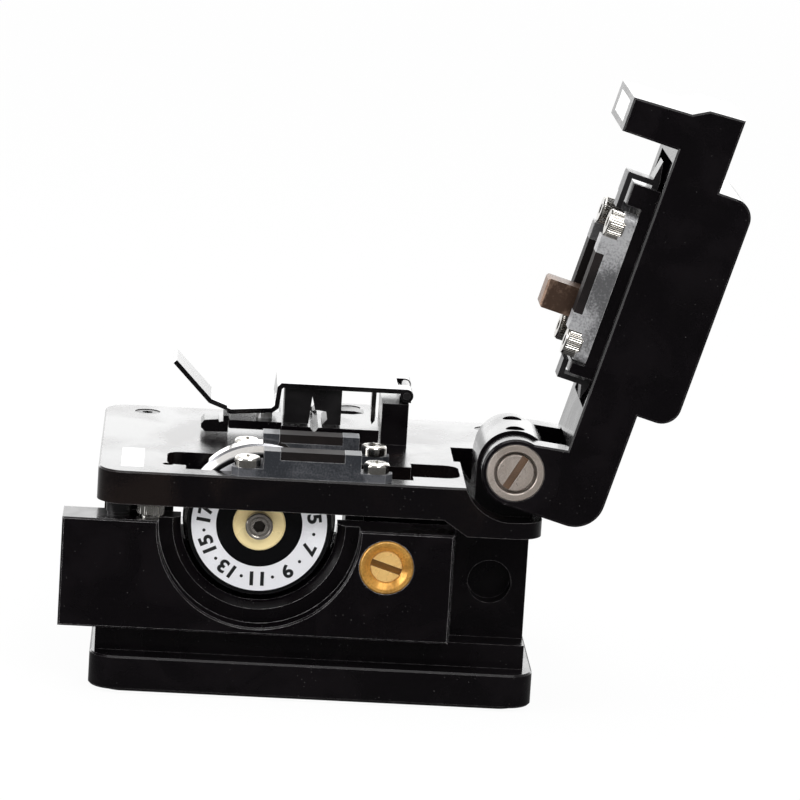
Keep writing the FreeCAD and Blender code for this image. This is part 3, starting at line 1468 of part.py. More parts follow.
def lug_width():
    """Width of the leaf block's hinge lug."""
    return S.leaf_width - 8.0


def make_leaf_pin():
    """Pin that the clamp leaf turns on."""
    body = new_body("leaf_pin")
    sketch = sketch_on(body, "YZ_Plane", leaf_far - 0.2)
    circle(sketch, S.leaf_axis_place, leaf_height, S.leaf_pin_round)
    pad(body, sketch, S.leaf_width + 0.4)
    return body


def make_leaf():
    """Bent spring-steel leaf: finger tab, flat, riser, bridge and two knuckles."""
    z0 = S.platform_top
    top = leaf_height + S.knuckle_round
    body = new_body("clamp_leaf")
    line = [(S.leaf_axis_place, top), (-6.0, top), (-6.6, top - 0.6), (-6.9, z0 + 5.1),
            (-7.4, z0 + 4.7), (-13.4, z0 + 4.2), (-16.4, z0 + 5.3), (-21.9, z0 + 11.0)]
    sketch = sketch_on(body, "YZ_Plane", leaf_far)
    polygon(sketch, strip_outline(line, S.leaf_thick))
    pad(body, sketch, S.leaf_width)
    knuckles = ((leaf_far, 3.7), (S.leaf_near - 3.7, 3.7))
    for x0, length in knuckles:
        ring = sketch_on(body, "YZ_Plane", x0)
        circle(ring, S.leaf_axis_place, leaf_height, S.knuckle_round)
        pad(body, ring, length)
    cut_x(body, box_points(S.leaf_axis_place - 1.3, leaf_height - 1.2,
                           S.leaf_axis_place + 1.4, top + 0.5),
          lug_far() - 0.3, lug_width() + 0.6)
    bore_x(body, S.leaf_axis_place, leaf_height, S.leaf_pin_round + S.run_gap,
           leaf_far, S.leaf_width)
    tab = sketch_on(body, "YZ_Plane", S.leaf_near - S.tab_width)
    rear = S.tab_place + S.leaf_thick
    polygon(tab, [(S.tab_place, top - S.leaf_thick / 2), (S.tab_place, z0 + 3.6),
                  (S.tab_place + 0.2, z0 + 3.0), (rear - 0.05, z0 + 3.6),
                  (rear, top - S.leaf_thick / 2)])
    pad(body, tab, S.tab_width)
    cut_z(body, [(leaf_far + 1.6, -14.0), (leaf_far + 1.6, -24.0), (leaf_far - 1.0, -24.0),
                 (leaf_far - 1.0, -14.0)], z0 + 3.0, 9.0)
    cut_z(body, [(S.leaf_near - 1.6, -24.0), (S.leaf_near - 1.6, -14.0),
                 (S.leaf_near + 1.0, -14.0), (S.leaf_near + 1.0, -24.0)], z0 + 3.0, 9.0)
    return body


def strip_outline(line, thick):
    """Outline of a bent strip: its upper line, then the lower line back."""
    upper = []
    lower = []
    count = len(line)
    for i, (y, z) in enumerate(line):
        before = line[max(i - 1, 0)]
        after = line[min(i + 1, count - 1)]
        a = direction(before, (y, z)) if i > 0 else direction((y, z), after)
        b = direction((y, z), after) if i < count - 1 else a
        normal = (a[1] + b[1], -(a[0] + b[0]))
        size = math.hypot(normal[0], normal[1])
        normal = (normal[0] / size, normal[1] / size)
        stretch = 1.0 / (normal[0] * a[1] - normal[1] * a[0])
        upper.append((y, z))
        lower.append((y + thick * (-abs(stretch) * normal[0]), z + thick * (-abs(stretch) * normal[1])))
    return upper + lower[::-1]


def direction(start, end):
    """Unit direction between two points of a line."""
    dy = Dim.of(end[0]).value - Dim.of(start[0]).value
    dz = Dim.of(end[1]).value - Dim.of(start[1]).value
    size = math.hypot(dy, dz)
    return (dy / size, dz / size)


def make_leaf_block():
    """Pressure block under the leaf's bridge, notched over the fibre."""
    z0 = S.platform_top
    low = z0 + S.holder_height + 0.3
    high = leaf_height + S.knuckle_round - S.leaf_thick
    g = S.fibre_place
    return prism_x("leaf_block", [
        (-5.4, low), (g - 0.9, low), (g - 0.5, low + 4.2), (g, low + 2.2), (g + 1.7, low + 2.0),
        (g + 1.9, low + 0.8), (g + 1.2, low), (3.2, low), (3.2, high), (-5.4, high)],
        S.leaf_near - 9.5, Dim.of(8.5))


def make_leaf_finger():
    """Pointed retaining finger beside the pressure block."""
    z0 = S.platform_top
    return prism_x("leaf_finger", [
        (3.2, z0 + 3.7), (5.2, z0 + 3.7), (6.75, z0 + 3.95), (5.2, z0 + 4.2), (3.2, z0 + 4.2)],
        S.leaf_near - 6.5, Dim.of(3.0))


# ---------------------------------------------------------------- whole object

def make_everything():
    """Build every part in order."""
    make_base()
    make_base_screws()
    make_main_frame()
    make_rail()
    make_rail_screws()
    make_platform()
    make_platform_screws()
    make_front_magnet()
    make_anvil("near_anvil", S.near_anvil_at)
    make_anvil("far_anvil", S.far_anvil_at)
    make_anvil_pads()
    make_anvil_screws()
    make_hinge_block()
    make_hinge_set_screws()
    make_hinge_pin()
    make_holder_base()
    make_holder_screws()
    make_holder_arm()
    make_holder_knob()
    make_leaf_magnet()
    make_leaf_post()
    make_leaf_pin()
    make_lid_shell()
    make_hinge_bush("near_hinge_bush", S.lid_near - S.ear_thick, True)
    make_hinge_bush("far_hinge_bush", lid_far, False)
    make_hook_magnet()
    make_carrier()
    make_carrier_rods()
    make_clamp_bar("near_clamp_bar", near_bar_at())
    make_clamp_bar("far_clamp_bar", S.far_anvil_at)
    make_clamp_pads()
    make_clamp_screws()
    make_clip("tip_clip", S.carrier_tip, 1)
    make_clip("heel_clip", S.carrier_heel, -1)
    make_hammer()
    make_carriage()
    make_slider()
    make_slider_screws()
    make_axle_bearing()
    make_height_screws()
    make_brass_adjuster()
    make_wheel()
    make_leaf()
    make_leaf_block()
    make_leaf_finger()


def check_document():
    """Stop if any object failed or any sub-part is null or not valid."""
    for item in doc.Objects:
        if "Invalid" in item.State or "Error" in item.State:
            raise RuntimeError("%s did not compute: %s" % (item.Name, item.State))
    for node in NODES:
        if node.Shape.isNull() or not node.Shape.isValid():
            raise RuntimeError("%s has no valid shape" % node.Label)


def write_parts():
    """Write one STEP file for each node."""
    os.makedirs("parts", exist_ok=True)
    for node in NODES:
        node.Shape.exportStep("parts/%s.step" % node.Label)
        print("%-20s solids %d volume %.2f" % (node.Label, len(node.Shape.Solids), node.Shape.Volume))


make_everything()
doc.recompute()
check_document()
write_parts()
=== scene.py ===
"""Dresses the fibre cleaver: finishes, dial, turned faces, knurled screws, light, camera."""
import json
import logging
import math
from dataclasses import dataclass, field
from enum import Enum

import bmesh
import bpy
from mathutils import Matrix, Vector


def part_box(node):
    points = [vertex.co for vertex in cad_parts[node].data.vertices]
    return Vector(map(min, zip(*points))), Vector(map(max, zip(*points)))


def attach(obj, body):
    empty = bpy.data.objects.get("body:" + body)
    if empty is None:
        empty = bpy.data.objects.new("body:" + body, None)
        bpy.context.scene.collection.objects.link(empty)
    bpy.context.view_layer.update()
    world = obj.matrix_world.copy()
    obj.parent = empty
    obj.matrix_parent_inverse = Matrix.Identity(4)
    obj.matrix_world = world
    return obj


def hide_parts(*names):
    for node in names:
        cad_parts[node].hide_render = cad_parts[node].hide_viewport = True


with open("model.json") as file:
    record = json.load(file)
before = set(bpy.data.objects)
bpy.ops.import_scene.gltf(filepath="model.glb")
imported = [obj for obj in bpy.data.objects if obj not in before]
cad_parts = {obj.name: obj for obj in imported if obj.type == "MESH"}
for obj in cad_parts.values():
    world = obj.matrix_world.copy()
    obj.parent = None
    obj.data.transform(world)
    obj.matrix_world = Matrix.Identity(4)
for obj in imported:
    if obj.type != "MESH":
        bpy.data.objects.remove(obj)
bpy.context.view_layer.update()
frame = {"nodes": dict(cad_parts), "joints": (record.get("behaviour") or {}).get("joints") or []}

log = logging.getLogger("fibre_cleaver")

Colour = tuple[float, float, float]
Point = tuple[float, float, float]

MM = 0.001
WELD = 1e-7
ALONG_X = Vector((1.0, 0.0, 0.0))
UPWARD = Vector((0.0, 0.0, 1.0))
WHITE = (1.0, 1.0, 1.0, 1.0)


# ------------------------------------------------------------------ shader node groups

class NodeTree:
    """Short calls for building one node tree, in a material, a group or the world."""

    def __init__(self, tree: bpy.types.NodeTree) -> None:
        """Wrap a tree.

        Args:
            tree: The node tree that new nodes and links go into.
        """
        self.tree = tree

    def add(self, kind: str, **settings: object) -> bpy.types.Node:
        """Add a node and set its own properties.

        Args:
            kind: Blender's node type, such as "ShaderNodeMath".
            settings: Properties of the node by name.

        Returns:
            The new node.
        """
        node = self.tree.nodes.new(kind)
        for name, value in settings.items():
            setattr(node, name, value)
        return node

    def join(self, source: bpy.types.NodeSocket, target: bpy.types.NodeSocket) -> None:
        """Link one socket to another."""
        self.tree.links.new(source, target)

    def feed(self, socket: bpy.types.NodeSocket, value: object) -> None:
        """Give a socket a link or a plain value.

        Args:
            socket: The input socket.
            value: An output socket, a number or a sequence of numbers.
        """
        if isinstance(value, bpy.types.NodeSocket):
            self.join(value, socket)
        else:
            socket.default_value = value

    def sum(self, how: str, first: object, second: object = 0.0,
            third: object = 0.0, clamp: bool = False) -> bpy.types.NodeSocket:
        """Work one number out of others.

        Args:
            how: The Math node's operation.
            first: First value or socket.
            second: Second value or socket.
            third: Third value or socket.
            clamp: Whether the result stays between 0 and 1.

        Returns:
            The result's socket.
        """
        node = self.add("ShaderNodeMath", operation=how, use_clamp=clamp)
        for socket, value in zip(node.inputs, (first, second, third)):
            self.feed(socket, value)
        return node.outputs[0]

    def blend(self, amount: object, first: object, second: object) -> bpy.types.NodeSocket:
        """Blend two colours.

        Args:
            amount: 0 for the first colour and 1 for the second.
            first: Colour or socket.
            second: Colour or socket.

        Returns:
            The blended colour's socket.
        """
        node = self.add("ShaderNodeMix", data_type="RGBA")
        self.feed(node.inputs["Factor"], amount)
        self.feed(node.inputs["A"], first)
        self.feed(node.inputs["B"], second)
        return node.outputs["Result"]

    def ramp(self, value: object, low: float, high: float) -> bpy.types.NodeSocket:
        """Stretch a span of values to the span from 0 to 1, with soft ends.

        Args:
            value: Socket or number to read.
            low: The value that gives 0.
            high: The value that gives 1.

        Returns:
            The stretched value's socket.
        """
        node = self.add("ShaderNodeMapRange", interpolation_type="SMOOTHSTEP")
        self.feed(node.inputs["Value"], value)
        node.inputs["From Min"].default_value = low
        node.inputs["From Max"].default_value = high
        return node.outputs["Result"]

    def object_place(self) -> bpy.types.NodeSocket:
        """Read the place on the object itself."""
        return self.add("ShaderNodeTexCoord").outputs["Object"]

    def noise(self, place: bpy.types.NodeSocket, scale: object, detail: float = 2.0,
              distortion: float = 0.0) -> bpy.types.NodeSocket:
        """Lay a noise over a place.

        Args:
            place: The socket that holds the place.
            scale: How fine the noise is, as a number or a socket.
            detail: How many finer layers it has.
            distortion: How far it is warped.

        Returns:
            The noise's socket.
        """
        node = self.add("ShaderNodeTexNoise")
        self.join(place, node.inputs["Vector"])
        self.feed(node.inputs["Scale"], scale)
        node.inputs["Detail"].default_value = detail
        node.inputs["Distortion"].default_value = distortion
        return node.outputs["Fac"]


class EffectGroup:
    """A shader node group with named inputs and outputs, built once for every material."""

    title: str = ""
    numbers_in: dict[str, float] = {}
    values_out: tuple[str, ...] = ()

    def __init__(self) -> None:
        """Make the group's interface and fill it."""
        self.tree = bpy.data.node_groups.new(self.title, "ShaderNodeTree")
        for name, default in self.numbers_in.items():
            socket = self.tree.interface.new_socket(
                name, in_out="INPUT", socket_type="NodeSocketFloat")
            socket.default_value = default
        for name in self.values_out:
            self.tree.interface.new_socket(
                name, in_out="OUTPUT", socket_type="NodeSocketFloat")
        self.net = NodeTree(self.tree)
        self.given = self.net.add("NodeGroupInput").outputs
        self.asked = self.net.add("NodeGroupOutput").inputs
        self.fill()

    def fill(self) -> None:
        """Build the nodes between the group's inputs and outputs."""
        raise NotImplementedError

    def place(self, net: NodeTree, **numbers: float) -> bpy.types.NodeOutputs:
        """Put the group into a material.

        Args:
            net: The material's node tree.
            numbers: Values for the group's inputs, with underscores for spaces.

        Returns:
            The outputs of the placed group.
        """
        node = net.add("ShaderNodeGroup", node_tree=self.tree)
        for name, value in numbers.items():
            node.inputs[name.replace("_", " ")].default_value = value
        return node.outputs


class EdgeWearAndHighlight(EffectGroup):
    """A mask of the edges where a finish is lightened, broken up by noise: rubbed thin, and on
    some finishes a painted highlight along the edge.
    """

    title = "edge_wear_and_highlight"
    numbers_in = {"Width": 0.0002, "Breakup": 0.5}
    values_out = ("Mask",)
    bevel_samples = 4
    rim_span = (0.02, 0.22)
    chip_scale = 900.0
    chip_detail = 3.0
    chip_span = (0.35, 0.65)

    def fill(self) -> None:
        """Compare the rounded normal with the true one, and break the result up."""
        net = self.net
        rounded = net.add("ShaderNodeBevel", samples=self.bevel_samples)
        net.join(self.given["Width"], rounded.inputs["Radius"])
        true = net.add("ShaderNodeNewGeometry")
        match = net.add("ShaderNodeVectorMath", operation="DOT_PRODUCT")
        net.join(rounded.outputs["Normal"], match.inputs[0])
        net.join(true.outputs["Normal"], match.inputs[1])
        turned = net.sum("SUBTRACT", 1.0, match.outputs["Value"], clamp=True)
        rim = net.ramp(turned, *self.rim_span)
        noise = net.noise(net.object_place(), self.chip_scale, self.chip_detail)
        chips = net.ramp(noise, *self.chip_span)
        kept = net.sum("SUBTRACT", 1.0, self.given["Breakup"])
        share = net.sum("MULTIPLY_ADD", chips, self.given["Breakup"], kept)
        net.join(net.sum("MULTIPLY", rim, share, clamp=True), self.asked["Mask"])


class FineGrain(EffectGroup):
    """Fine blasted or cast grain as a value about 0.5, with sparse pale specks."""

    title = "fine_grain"
    numbers_in = {"Scale": 5000.0}
    values_out = ("Grain", "Specks")
    cell_share = 0.35
    cell_span = (0.04, 0.16)
    patch_share = 0.08
    patch_span = (0.52, 0.7)

    def fill(self) -> None:
        """Lay one even noise and one sparse speckle over the object's own place."""
        net, scale = self.net, self.given["Scale"]
        place = net.object_place()
        net.join(net.noise(place, scale), self.asked["Grain"])
        cells = net.add("ShaderNodeTexVoronoi")
        net.join(place, cells.inputs["Vector"])
        net.join(net.sum("MULTIPLY", scale, self.cell_share), cells.inputs["Scale"])
        near = net.sum("SUBTRACT", 1.0, net.ramp(cells.outputs["Distance"], *self.cell_span))
        patch = net.noise(place, net.sum("MULTIPLY", scale, self.patch_share))
        few = net.ramp(patch, *self.patch_span)
        net.join(net.sum("MULTIPLY", near, few), self.asked["Specks"])


class Smudges(EffectGroup):
    """Broad soft patches where a surface was handled."""

    title = "smudges"
    numbers_in = {"Scale": 120.0}
    values_out = ("Patch",)
    detail = 5.0
    distortion = 0.6
    patch_span = (0.38, 0.66)

    def fill(self) -> None:
        """Warp a broad noise a little and stretch its middle."""
        net = self.net
        noise = net.noise(net.object_place(), self.given["Scale"], self.detail,
                          self.distortion)
        net.join(net.ramp(noise, *self.patch_span), self.asked["Patch"])


class ToolMarks(EffectGroup):
    """Fine turned tool marks, in rings about an axis along X."""

    title = "tool_marks"
    numbers_in = {"Centre Y": 0.0, "Centre Z": 0.0, "Scale": 9000.0}
    values_out = ("Rings",)

    def fill(self) -> None:
        """Find the distance from the axis and lay a noise along it."""
        net = self.net
        parts = net.add("ShaderNodeSeparateXYZ")
        net.join(net.object_place(), parts.inputs["Vector"])
        flat = net.add("ShaderNodeCombineXYZ")
        for read, centre, target in (("Y", "Centre Y", "X"), ("Z", "Centre Z", "Y")):
            offset = net.sum("SUBTRACT", parts.outputs[read], self.given[centre])
            net.join(offset, flat.inputs[target])
        radius = net.add("ShaderNodeVectorMath", operation="LENGTH")
        net.join(flat.outputs["Vector"], radius.inputs[0])
        noise = net.add("ShaderNodeTexNoise", noise_dimensions="1D")
        net.join(net.sum("MULTIPLY", radius.outputs["Value"], self.given["Scale"]),
                 noise.inputs["W"])
        noise.inputs["Scale"].default_value = 1.0
        noise.inputs["Detail"].default_value = 2.0
        net.join(noise.outputs["Fac"], self.asked["Rings"])


# ------------------------------------------------------------------ finishes

class Marks(Enum):
    """The tool marks on a finish, by the output of the tool mark group."""

    NONE = "none"
    RINGS = "Rings"


@dataclass(frozen=True)
class Finish:
    """One finish of the cleaver, dressed as a material."""

    name: str
    slot: str
    colour: Colour
    alternate: Colour
    metallic: float = 0.0
    roughness: float = 0.4
    rough_spread: float = 0.1
    specular: float = 0.5
    grain: float = 5000.0
    grain_depth: float = 0.03
    speck: float = 0.0
    # Colour of the lightened edges: rubbed wear, and on the black anodised and burnished finishes
    # also a painted highlight.
    wear_and_highlight: Colour | None = None
    wear_and_highlight_width: float = 0.00018
    wear_and_highlight_break: float = 0.5
    marks: Marks = Marks.NONE
    mark_centre: tuple[float, float] = (0.0, 0.0)
    mark_depth: float = 0.1
    smudge: float = 120.0
    coat: float = 0.0
    coat_rough: float = 0.12


class Paintshop:
    """Builds each finish's material once and hands it to nodes and pieces."""

    grain_share = 0.6
    patch_share = 0.4
    tone_span = (0.3, 0.75)
    speck_colour: Colour = (0.6, 0.58, 0.56)
    coat_ior = 1.25
    bump_distance = 0.1 * MM

    def __init__(self) -> None:
        """Build the shared node groups."""
        self.edge_wear_and_highlight = EdgeWearAndHighlight()
        self.fine_grain = FineGrain()
        self.smudges = Smudges()
        self.tool_marks = ToolMarks()
        self.made: dict[Finish, bpy.types.Material] = {}

    def material(self, finish: Finish) -> bpy.types.Material:
        """Give a finish's material, building it the first time.

        Args:
            finish: The finish that is wanted.

        Returns:
            Its material.
        """
        if finish not in self.made:
            self.made[finish] = self._build(finish)
        return self.made[finish]

    def _build(self, finish: Finish) -> bpy.types.Material:
        """Build the nodes of a finish.

        Args:
            finish: The finish to build.

        Returns:
            The new material.
        """
        material = bpy.data.materials.new(finish.name)
        material.use_nodes = True
        net = NodeTree(material.node_tree)
        shader = material.node_tree.nodes["Principled BSDF"]
        grain = self.fine_grain.place(net, Scale=finish.grain)
        patch = self.smudges.place(net, Scale=finish.smudge)["Patch"]
        tone = net.sum("MULTIPLY_ADD", grain["Grain"], self.grain_share,
                       net.sum("MULTIPLY", patch, self.patch_share))
        colour = net.blend(net.ramp(tone, *self.tone_span), (*finish.colour, 1.0),
                           (*finish.alternate, 1.0))
        if finish.speck > 0.0:
            speck = net.sum("MULTIPLY", grain["Specks"], finish.speck)
            colour = net.blend(speck, colour, (*self.speck_colour, 1.0))
        # Lighten the edges with the edge colour: rubbed wear, and partly a painted highlight
        # along the edges.
        if finish.wear_and_highlight is not None:
            mask = self.edge_wear_and_highlight.place(net, Width=finish.wear_and_highlight_width,
                                        Breakup=finish.wear_and_highlight_break)["Mask"]
            colour = net.blend(mask, colour, (*finish.wear_and_highlight, 1.0))
        net.join(colour, shader.inputs["Base Color"])
        shader.inputs["Metallic"].default_value = finish.metallic
        shader.inputs["Specular IOR Level"].default_value = finish.specular
        if finish.coat > 0.0:
            shader.inputs["Coat Weight"].default_value = finish.coat
            shader.inputs["Coat Roughness"].default_value = finish.coat_rough
            shader.inputs["Coat IOR"].default_value = self.coat_ior
        low = finish.roughness - finish.rough_spread / 2
        rough = net.sum("MULTIPLY_ADD", patch, finish.rough_spread, low, clamp=True)
        net.join(rough, shader.inputs["Roughness"])
        height = net.sum("MULTIPLY", grain["Grain"], finish.grain_depth)
        if finish.marks is not Marks.NONE:
            marks = self.tool_marks.place(net, Centre_Y=finish.mark_centre[0],
                                          Centre_Z=finish.mark_centre[1])
            height = net.sum("MULTIPLY_ADD", marks[finish.marks.value], finish.mark_depth,
                             height)
        bump = net.add("ShaderNodeBump")
        bump.inputs["Distance"].default_value = self.bump_distance
        bump.inputs["Strength"].default_value = 1.0
        net.join(height, bump.inputs["Height"])
        net.join(bump.outputs["Normal"], shader.inputs["Normal"])
        return material

    def dress(self, finish: Finish, *nodes: str) -> None:
        """Give CAD nodes a finish.

        Args:
            finish: The finish.
            nodes: Names of the nodes.
        """
        for name in nodes:
            node = frame["nodes"][name]
            node.data.materials.clear()
            node.data.materials.append(self.material(finish))
            log.info("%s is dressed in %s", name, finish.name)


def axis_of(node: str) -> tuple[float, float]:
    """Find where a turned CAD node's axis crosses the Y-Z plane.

    Args:
        node: The CAD node's name.

    Returns:
        Its (Y, Z) place in the row frame.
    """
    low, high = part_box(node)
    middle = (low + high) / 2
    return middle.y, middle.z


# The edge colour of ANODISED and HANDLED is rubbed wear and also a painted highlight along the
# edges.
ANODISED = Finish("black_anodised_aluminium", "black_anodised", (0.0026, 0.0020, 0.0026),
                  (0.0044, 0.0033, 0.0042), roughness=0.28, rough_spread=0.14, specular=0.06,
                  grain=4200.0, grain_depth=0.03, speck=0.10, wear_and_highlight=(0.13, 0.122, 0.125),
                  wear_and_highlight_width=0.00016, wear_and_highlight_break=0.7, coat=0.8)
# The carriage's pale edge colour is a painted highlight along its edges and its arc.
EDGED = Finish("black_anodised_painted_edge_highlight", "black_anodised", (0.0026, 0.0020, 0.0026),
               (0.0044, 0.0033, 0.0042), roughness=0.30, rough_spread=0.12, specular=0.06,
               grain=4200.0, grain_depth=0.03, speck=0.12, wear_and_highlight=(0.55, 0.53, 0.54),
               wear_and_highlight_width=0.00014, wear_and_highlight_break=0.6, coat=0.6)
LACQUERED = Finish("black_lacquered_strip", "black_anodised", (0.0026, 0.0022, 0.0026),
                   (0.0044, 0.0036, 0.0042), roughness=0.2, rough_spread=0.1, specular=0.3,
                   grain=4200.0, grain_depth=0.015, wear_and_highlight=(0.05, 0.047, 0.05),
                   wear_and_highlight_width=0.0001, wear_and_highlight_break=0.8, coat=1.0)
HANDLED = Finish("black_anodised_handled_top", "black_anodised", (0.0026, 0.0020, 0.0026),
                 (0.0095, 0.0062, 0.0054), roughness=0.25, rough_spread=0.14, specular=0.09,
                 grain=4200.0, grain_depth=0.03, speck=0.12, wear_and_highlight=(0.16, 0.15, 0.15),
                 wear_and_highlight_width=0.00016, wear_and_highlight_break=0.6, smudge=60.0, coat=0.85,
                 coat_rough=0.22)
RUBBER = Finish("matt_black_rubber", "rubber", (0.012, 0.011, 0.011), (0.02, 0.018, 0.018),
                roughness=0.75, specular=0.3, grain=3000.0, grain_depth=0.08)
PAD_RUBBER = Finish("dark_pad_rubber", "rubber", (0.007, 0.005, 0.005), (0.014, 0.010, 0.010),
                    roughness=0.6, specular=0.2, grain=5200.0, grain_depth=0.05)
BRIGHT = Finish("bright_zinc", "bright_screw", (0.80, 0.78, 0.74), (0.62, 0.59, 0.54),
                metallic=1.0, roughness=0.16, rough_spread=0.1, grain=5200.0, grain_depth=0.02,
                wear_and_highlight=(0.95, 0.94, 0.9), wear_and_highlight_width=0.0001)
BLACKENED = Finish("blackened_steel", "black_steel", (0.006, 0.0055, 0.006),
                   (0.012, 0.011, 0.012), roughness=0.3, specular=0.5, grain=5200.0,
                   grain_depth=0.03, wear_and_highlight=(0.08, 0.075, 0.075), wear_and_highlight_width=0.00015)
MAGNET = Finish("nickelled_magnet", "magnet", (0.92, 0.92, 0.91), (0.84, 0.84, 0.83),
                metallic=0.5, roughness=0.25, grain=5200.0, grain_depth=0.015)
CAST = Finish("grey_cast_steel", "cast_grey", (0.030, 0.033, 0.040), (0.105, 0.108, 0.12),
              metallic=0.3, roughness=0.40, rough_spread=0.14, grain=3400.0, grain_depth=0.3,
              speck=0.45, wear_and_highlight=(0.42, 0.42, 0.43), wear_and_highlight_width=0.00022, wear_and_highlight_break=0.4)
SINTERED = Finish("grey_sintered_bar", "cast_grey", (0.11, 0.11, 0.114), (0.44, 0.44, 0.45),
                  metallic=0.35, roughness=0.42, rough_spread=0.14, grain=3000.0,
                  grain_depth=0.5, speck=0.6, wear_and_highlight=(0.6, 0.6, 0.6), wear_and_highlight_width=0.0002,
                  wear_and_highlight_break=0.5)
POLISHED = Finish("polished_steel", "polished_steel", (0.72, 0.70, 0.68), (0.6, 0.57, 0.54),
                  metallic=1.0, roughness=0.12, rough_spread=0.08, grain=5200.0,
                  grain_depth=0.012)
NICKEL = Finish("warm_nickel", "nickel", (0.56, 0.49, 0.44), (0.36, 0.31, 0.27), metallic=0.5,
                roughness=0.26, grain=5200.0, grain_depth=0.03, wear_and_highlight=(0.85, 0.8, 0.76),
                wear_and_highlight_width=0.00018, marks=Marks.RINGS, mark_centre=axis_of("hinge_pin"))
# The bush's brass is a darker copy of the eccentric's brass: painted shade on the bush's ring and
# cone. The eccentric's face is the lit copy.
BRASS_SHADED = Finish("turned_brass_painted_shade", "brass", (0.74, 0.38, 0.08), (0.42, 0.20, 0.035), metallic=0.5,
               roughness=0.3, grain=2600.0, grain_depth=0.08, wear_and_highlight=(0.95, 0.78, 0.42),
               wear_and_highlight_width=0.00018, marks=Marks.RINGS, mark_centre=axis_of("brass_bush"))
BRASS_LIT = Finish("lit_brass_face", "brass", (0.88, 0.56, 0.20), (0.76, 0.45, 0.14),
                    metallic=0.3, roughness=0.3, grain=3000.0, grain_depth=0.08,
                    wear_and_highlight=(0.98, 0.80, 0.45), wear_and_highlight_width=0.00012)
# Darker brass for the eccentric's slot: painted shade in the recess.
BRASS_SLOT_SHADE = Finish("brass_slot_painted_shade", "brass", (0.34, 0.16, 0.03), (0.22, 0.10, 0.02),
                    metallic=0.3, roughness=0.4, grain=3000.0, grain_depth=0.08)
# Near-black for the hub screw's hex socket: painted shade in the recess.
SOCKET_SHADE = Finish("socket_painted_shade", "bright_screw", (0.030, 0.024, 0.020),
                     (0.075, 0.062, 0.052), metallic=0.4, roughness=0.35, grain=5200.0,
                     grain_depth=0.03)
HUB_BRASS = Finish("hub_brass", "brass", (0.98, 0.80, 0.42), (0.90, 0.70, 0.33), metallic=0.15,
                   roughness=0.3, grain=5200.0, grain_depth=0.02, marks=Marks.RINGS,
                   mark_centre=axis_of("brass_hub"))
BRONZE = Finish("brown_bronze", "bronze", (0.085, 0.050, 0.034), (0.24, 0.155, 0.11),
                metallic=0.6, roughness=0.42, grain=2600.0, grain_depth=0.3, speck=0.2,
                wear_and_highlight=(0.34, 0.25, 0.19), wear_and_highlight_width=0.0001, smudge=260.0)
# Dark brown for the hinge pin's slot: painted shade in the recess.
HINGE_SLOT_SHADE = Finish("hinge_slot_painted_shade", "bronze", (0.15, 0.092, 0.06), (0.28, 0.18, 0.12),
                    metallic=0.5, roughness=0.35, grain=6500.0, grain_depth=0.05)
CARBIDE = Finish("ground_carbide", "carbide", (0.5, 0.5, 0.52), (0.4, 0.4, 0.42), metallic=1.0,
                 roughness=0.25, grain=6500.0, grain_depth=0.03)
# The hub screw's pale edge colour is a painted highlight on its turned rings, together with
# rubbed wear.
BURNISHED = Finish("burnished_steel", "bright_screw", (0.34, 0.31, 0.28), (0.22, 0.19, 0.17),
                   metallic=0.7, roughness=0.24, grain=5200.0, grain_depth=0.03,
                   wear_and_highlight=(0.8, 0.78, 0.74), wear_and_highlight_width=0.00014, marks=Marks.RINGS,
                   mark_centre=axis_of("brass_hub"))
DIAL_BLACK = Finish("dial_black", "black_anodised", (0.003, 0.003, 0.0036),
                    (0.005, 0.005, 0.0056), roughness=0.36, grain=4800.0, grain_depth=0.04,
                    specular=0.12, wear_and_highlight=(0.09, 0.085, 0.085), wear_and_highlight_width=0.00012)
DIAL_PALE = Finish("dial_pale", "black_anodised", (0.74, 0.74, 0.77), (0.82, 0.82, 0.85),
                   roughness=0.5, grain=4800.0, grain_depth=0.02)
DIAL_INK = Finish("dial_ink", "black_anodised", (0.006, 0.006, 0.007), (0.01, 0.01, 0.01),
                  roughness=0.5, grain=4800.0, grain_depth=0.02)


def dress_frame(shop: Paintshop) -> None:
    """Give every CAD node its finish.

    Args:
        shop: The paint shop.
    """
    shop.dress(ANODISED, "base_plate", "main_frame", "hinge_block", "lid_shell",
               "clamp_carrier", "holder_base", "holder_arm", "holder_knob", "leaf_post")
    shop.dress(HANDLED, "platform")
    shop.dress(EDGED, "carriage_body")
    shop.dress(RUBBER, "rubber_mat")
    shop.dress(PAD_RUBBER, "anvil_pads", "clamp_pads")
    shop.dress(BLACKENED, "base_screws", "rail_screws", "platform_screws", "hinge_set_screws",
               "holder_screws", "slider_screws", "height_lock_screw", "tip_clip", "heel_clip",
               "leaf_block", "leaf_finger", "leaf_pin")
    shop.dress(BRIGHT, "anvil_screws", "clamp_screws", "blade_height_screw")
    shop.dress(BURNISHED, "hub_screw")
    shop.dress(MAGNET, "front_magnet", "hook_magnet", "leaf_magnet")
    shop.dress(CAST, "near_anvil", "far_anvil")
    shop.dress(SINTERED, "near_clamp_bar", "far_clamp_bar")
    shop.dress(POLISHED, "slide_rail", "slider_block", "carrier_rods", "hammer_rod",
               "wheel_axle", "rear_flange", "front_flange")
    shop.dress(NICKEL, "hinge_pin", "near_hinge_bush", "far_hinge_bush")
    shop.dress(BRASS_SHADED, "brass_bush")
    shop.dress(BRASS_LIT, "eccentric_screw")
    shop.dress(HUB_BRASS, "brass_hub")
    shop.dress(BRONZE, "hammer_block", "axle_bearing")
    shop.dress(CARBIDE, "blade")
    shop.dress(LACQUERED, "clamp_leaf")
    shop.dress(DIAL_BLACK, "dial")


# ------------------------------------------------------------------ mesh tools

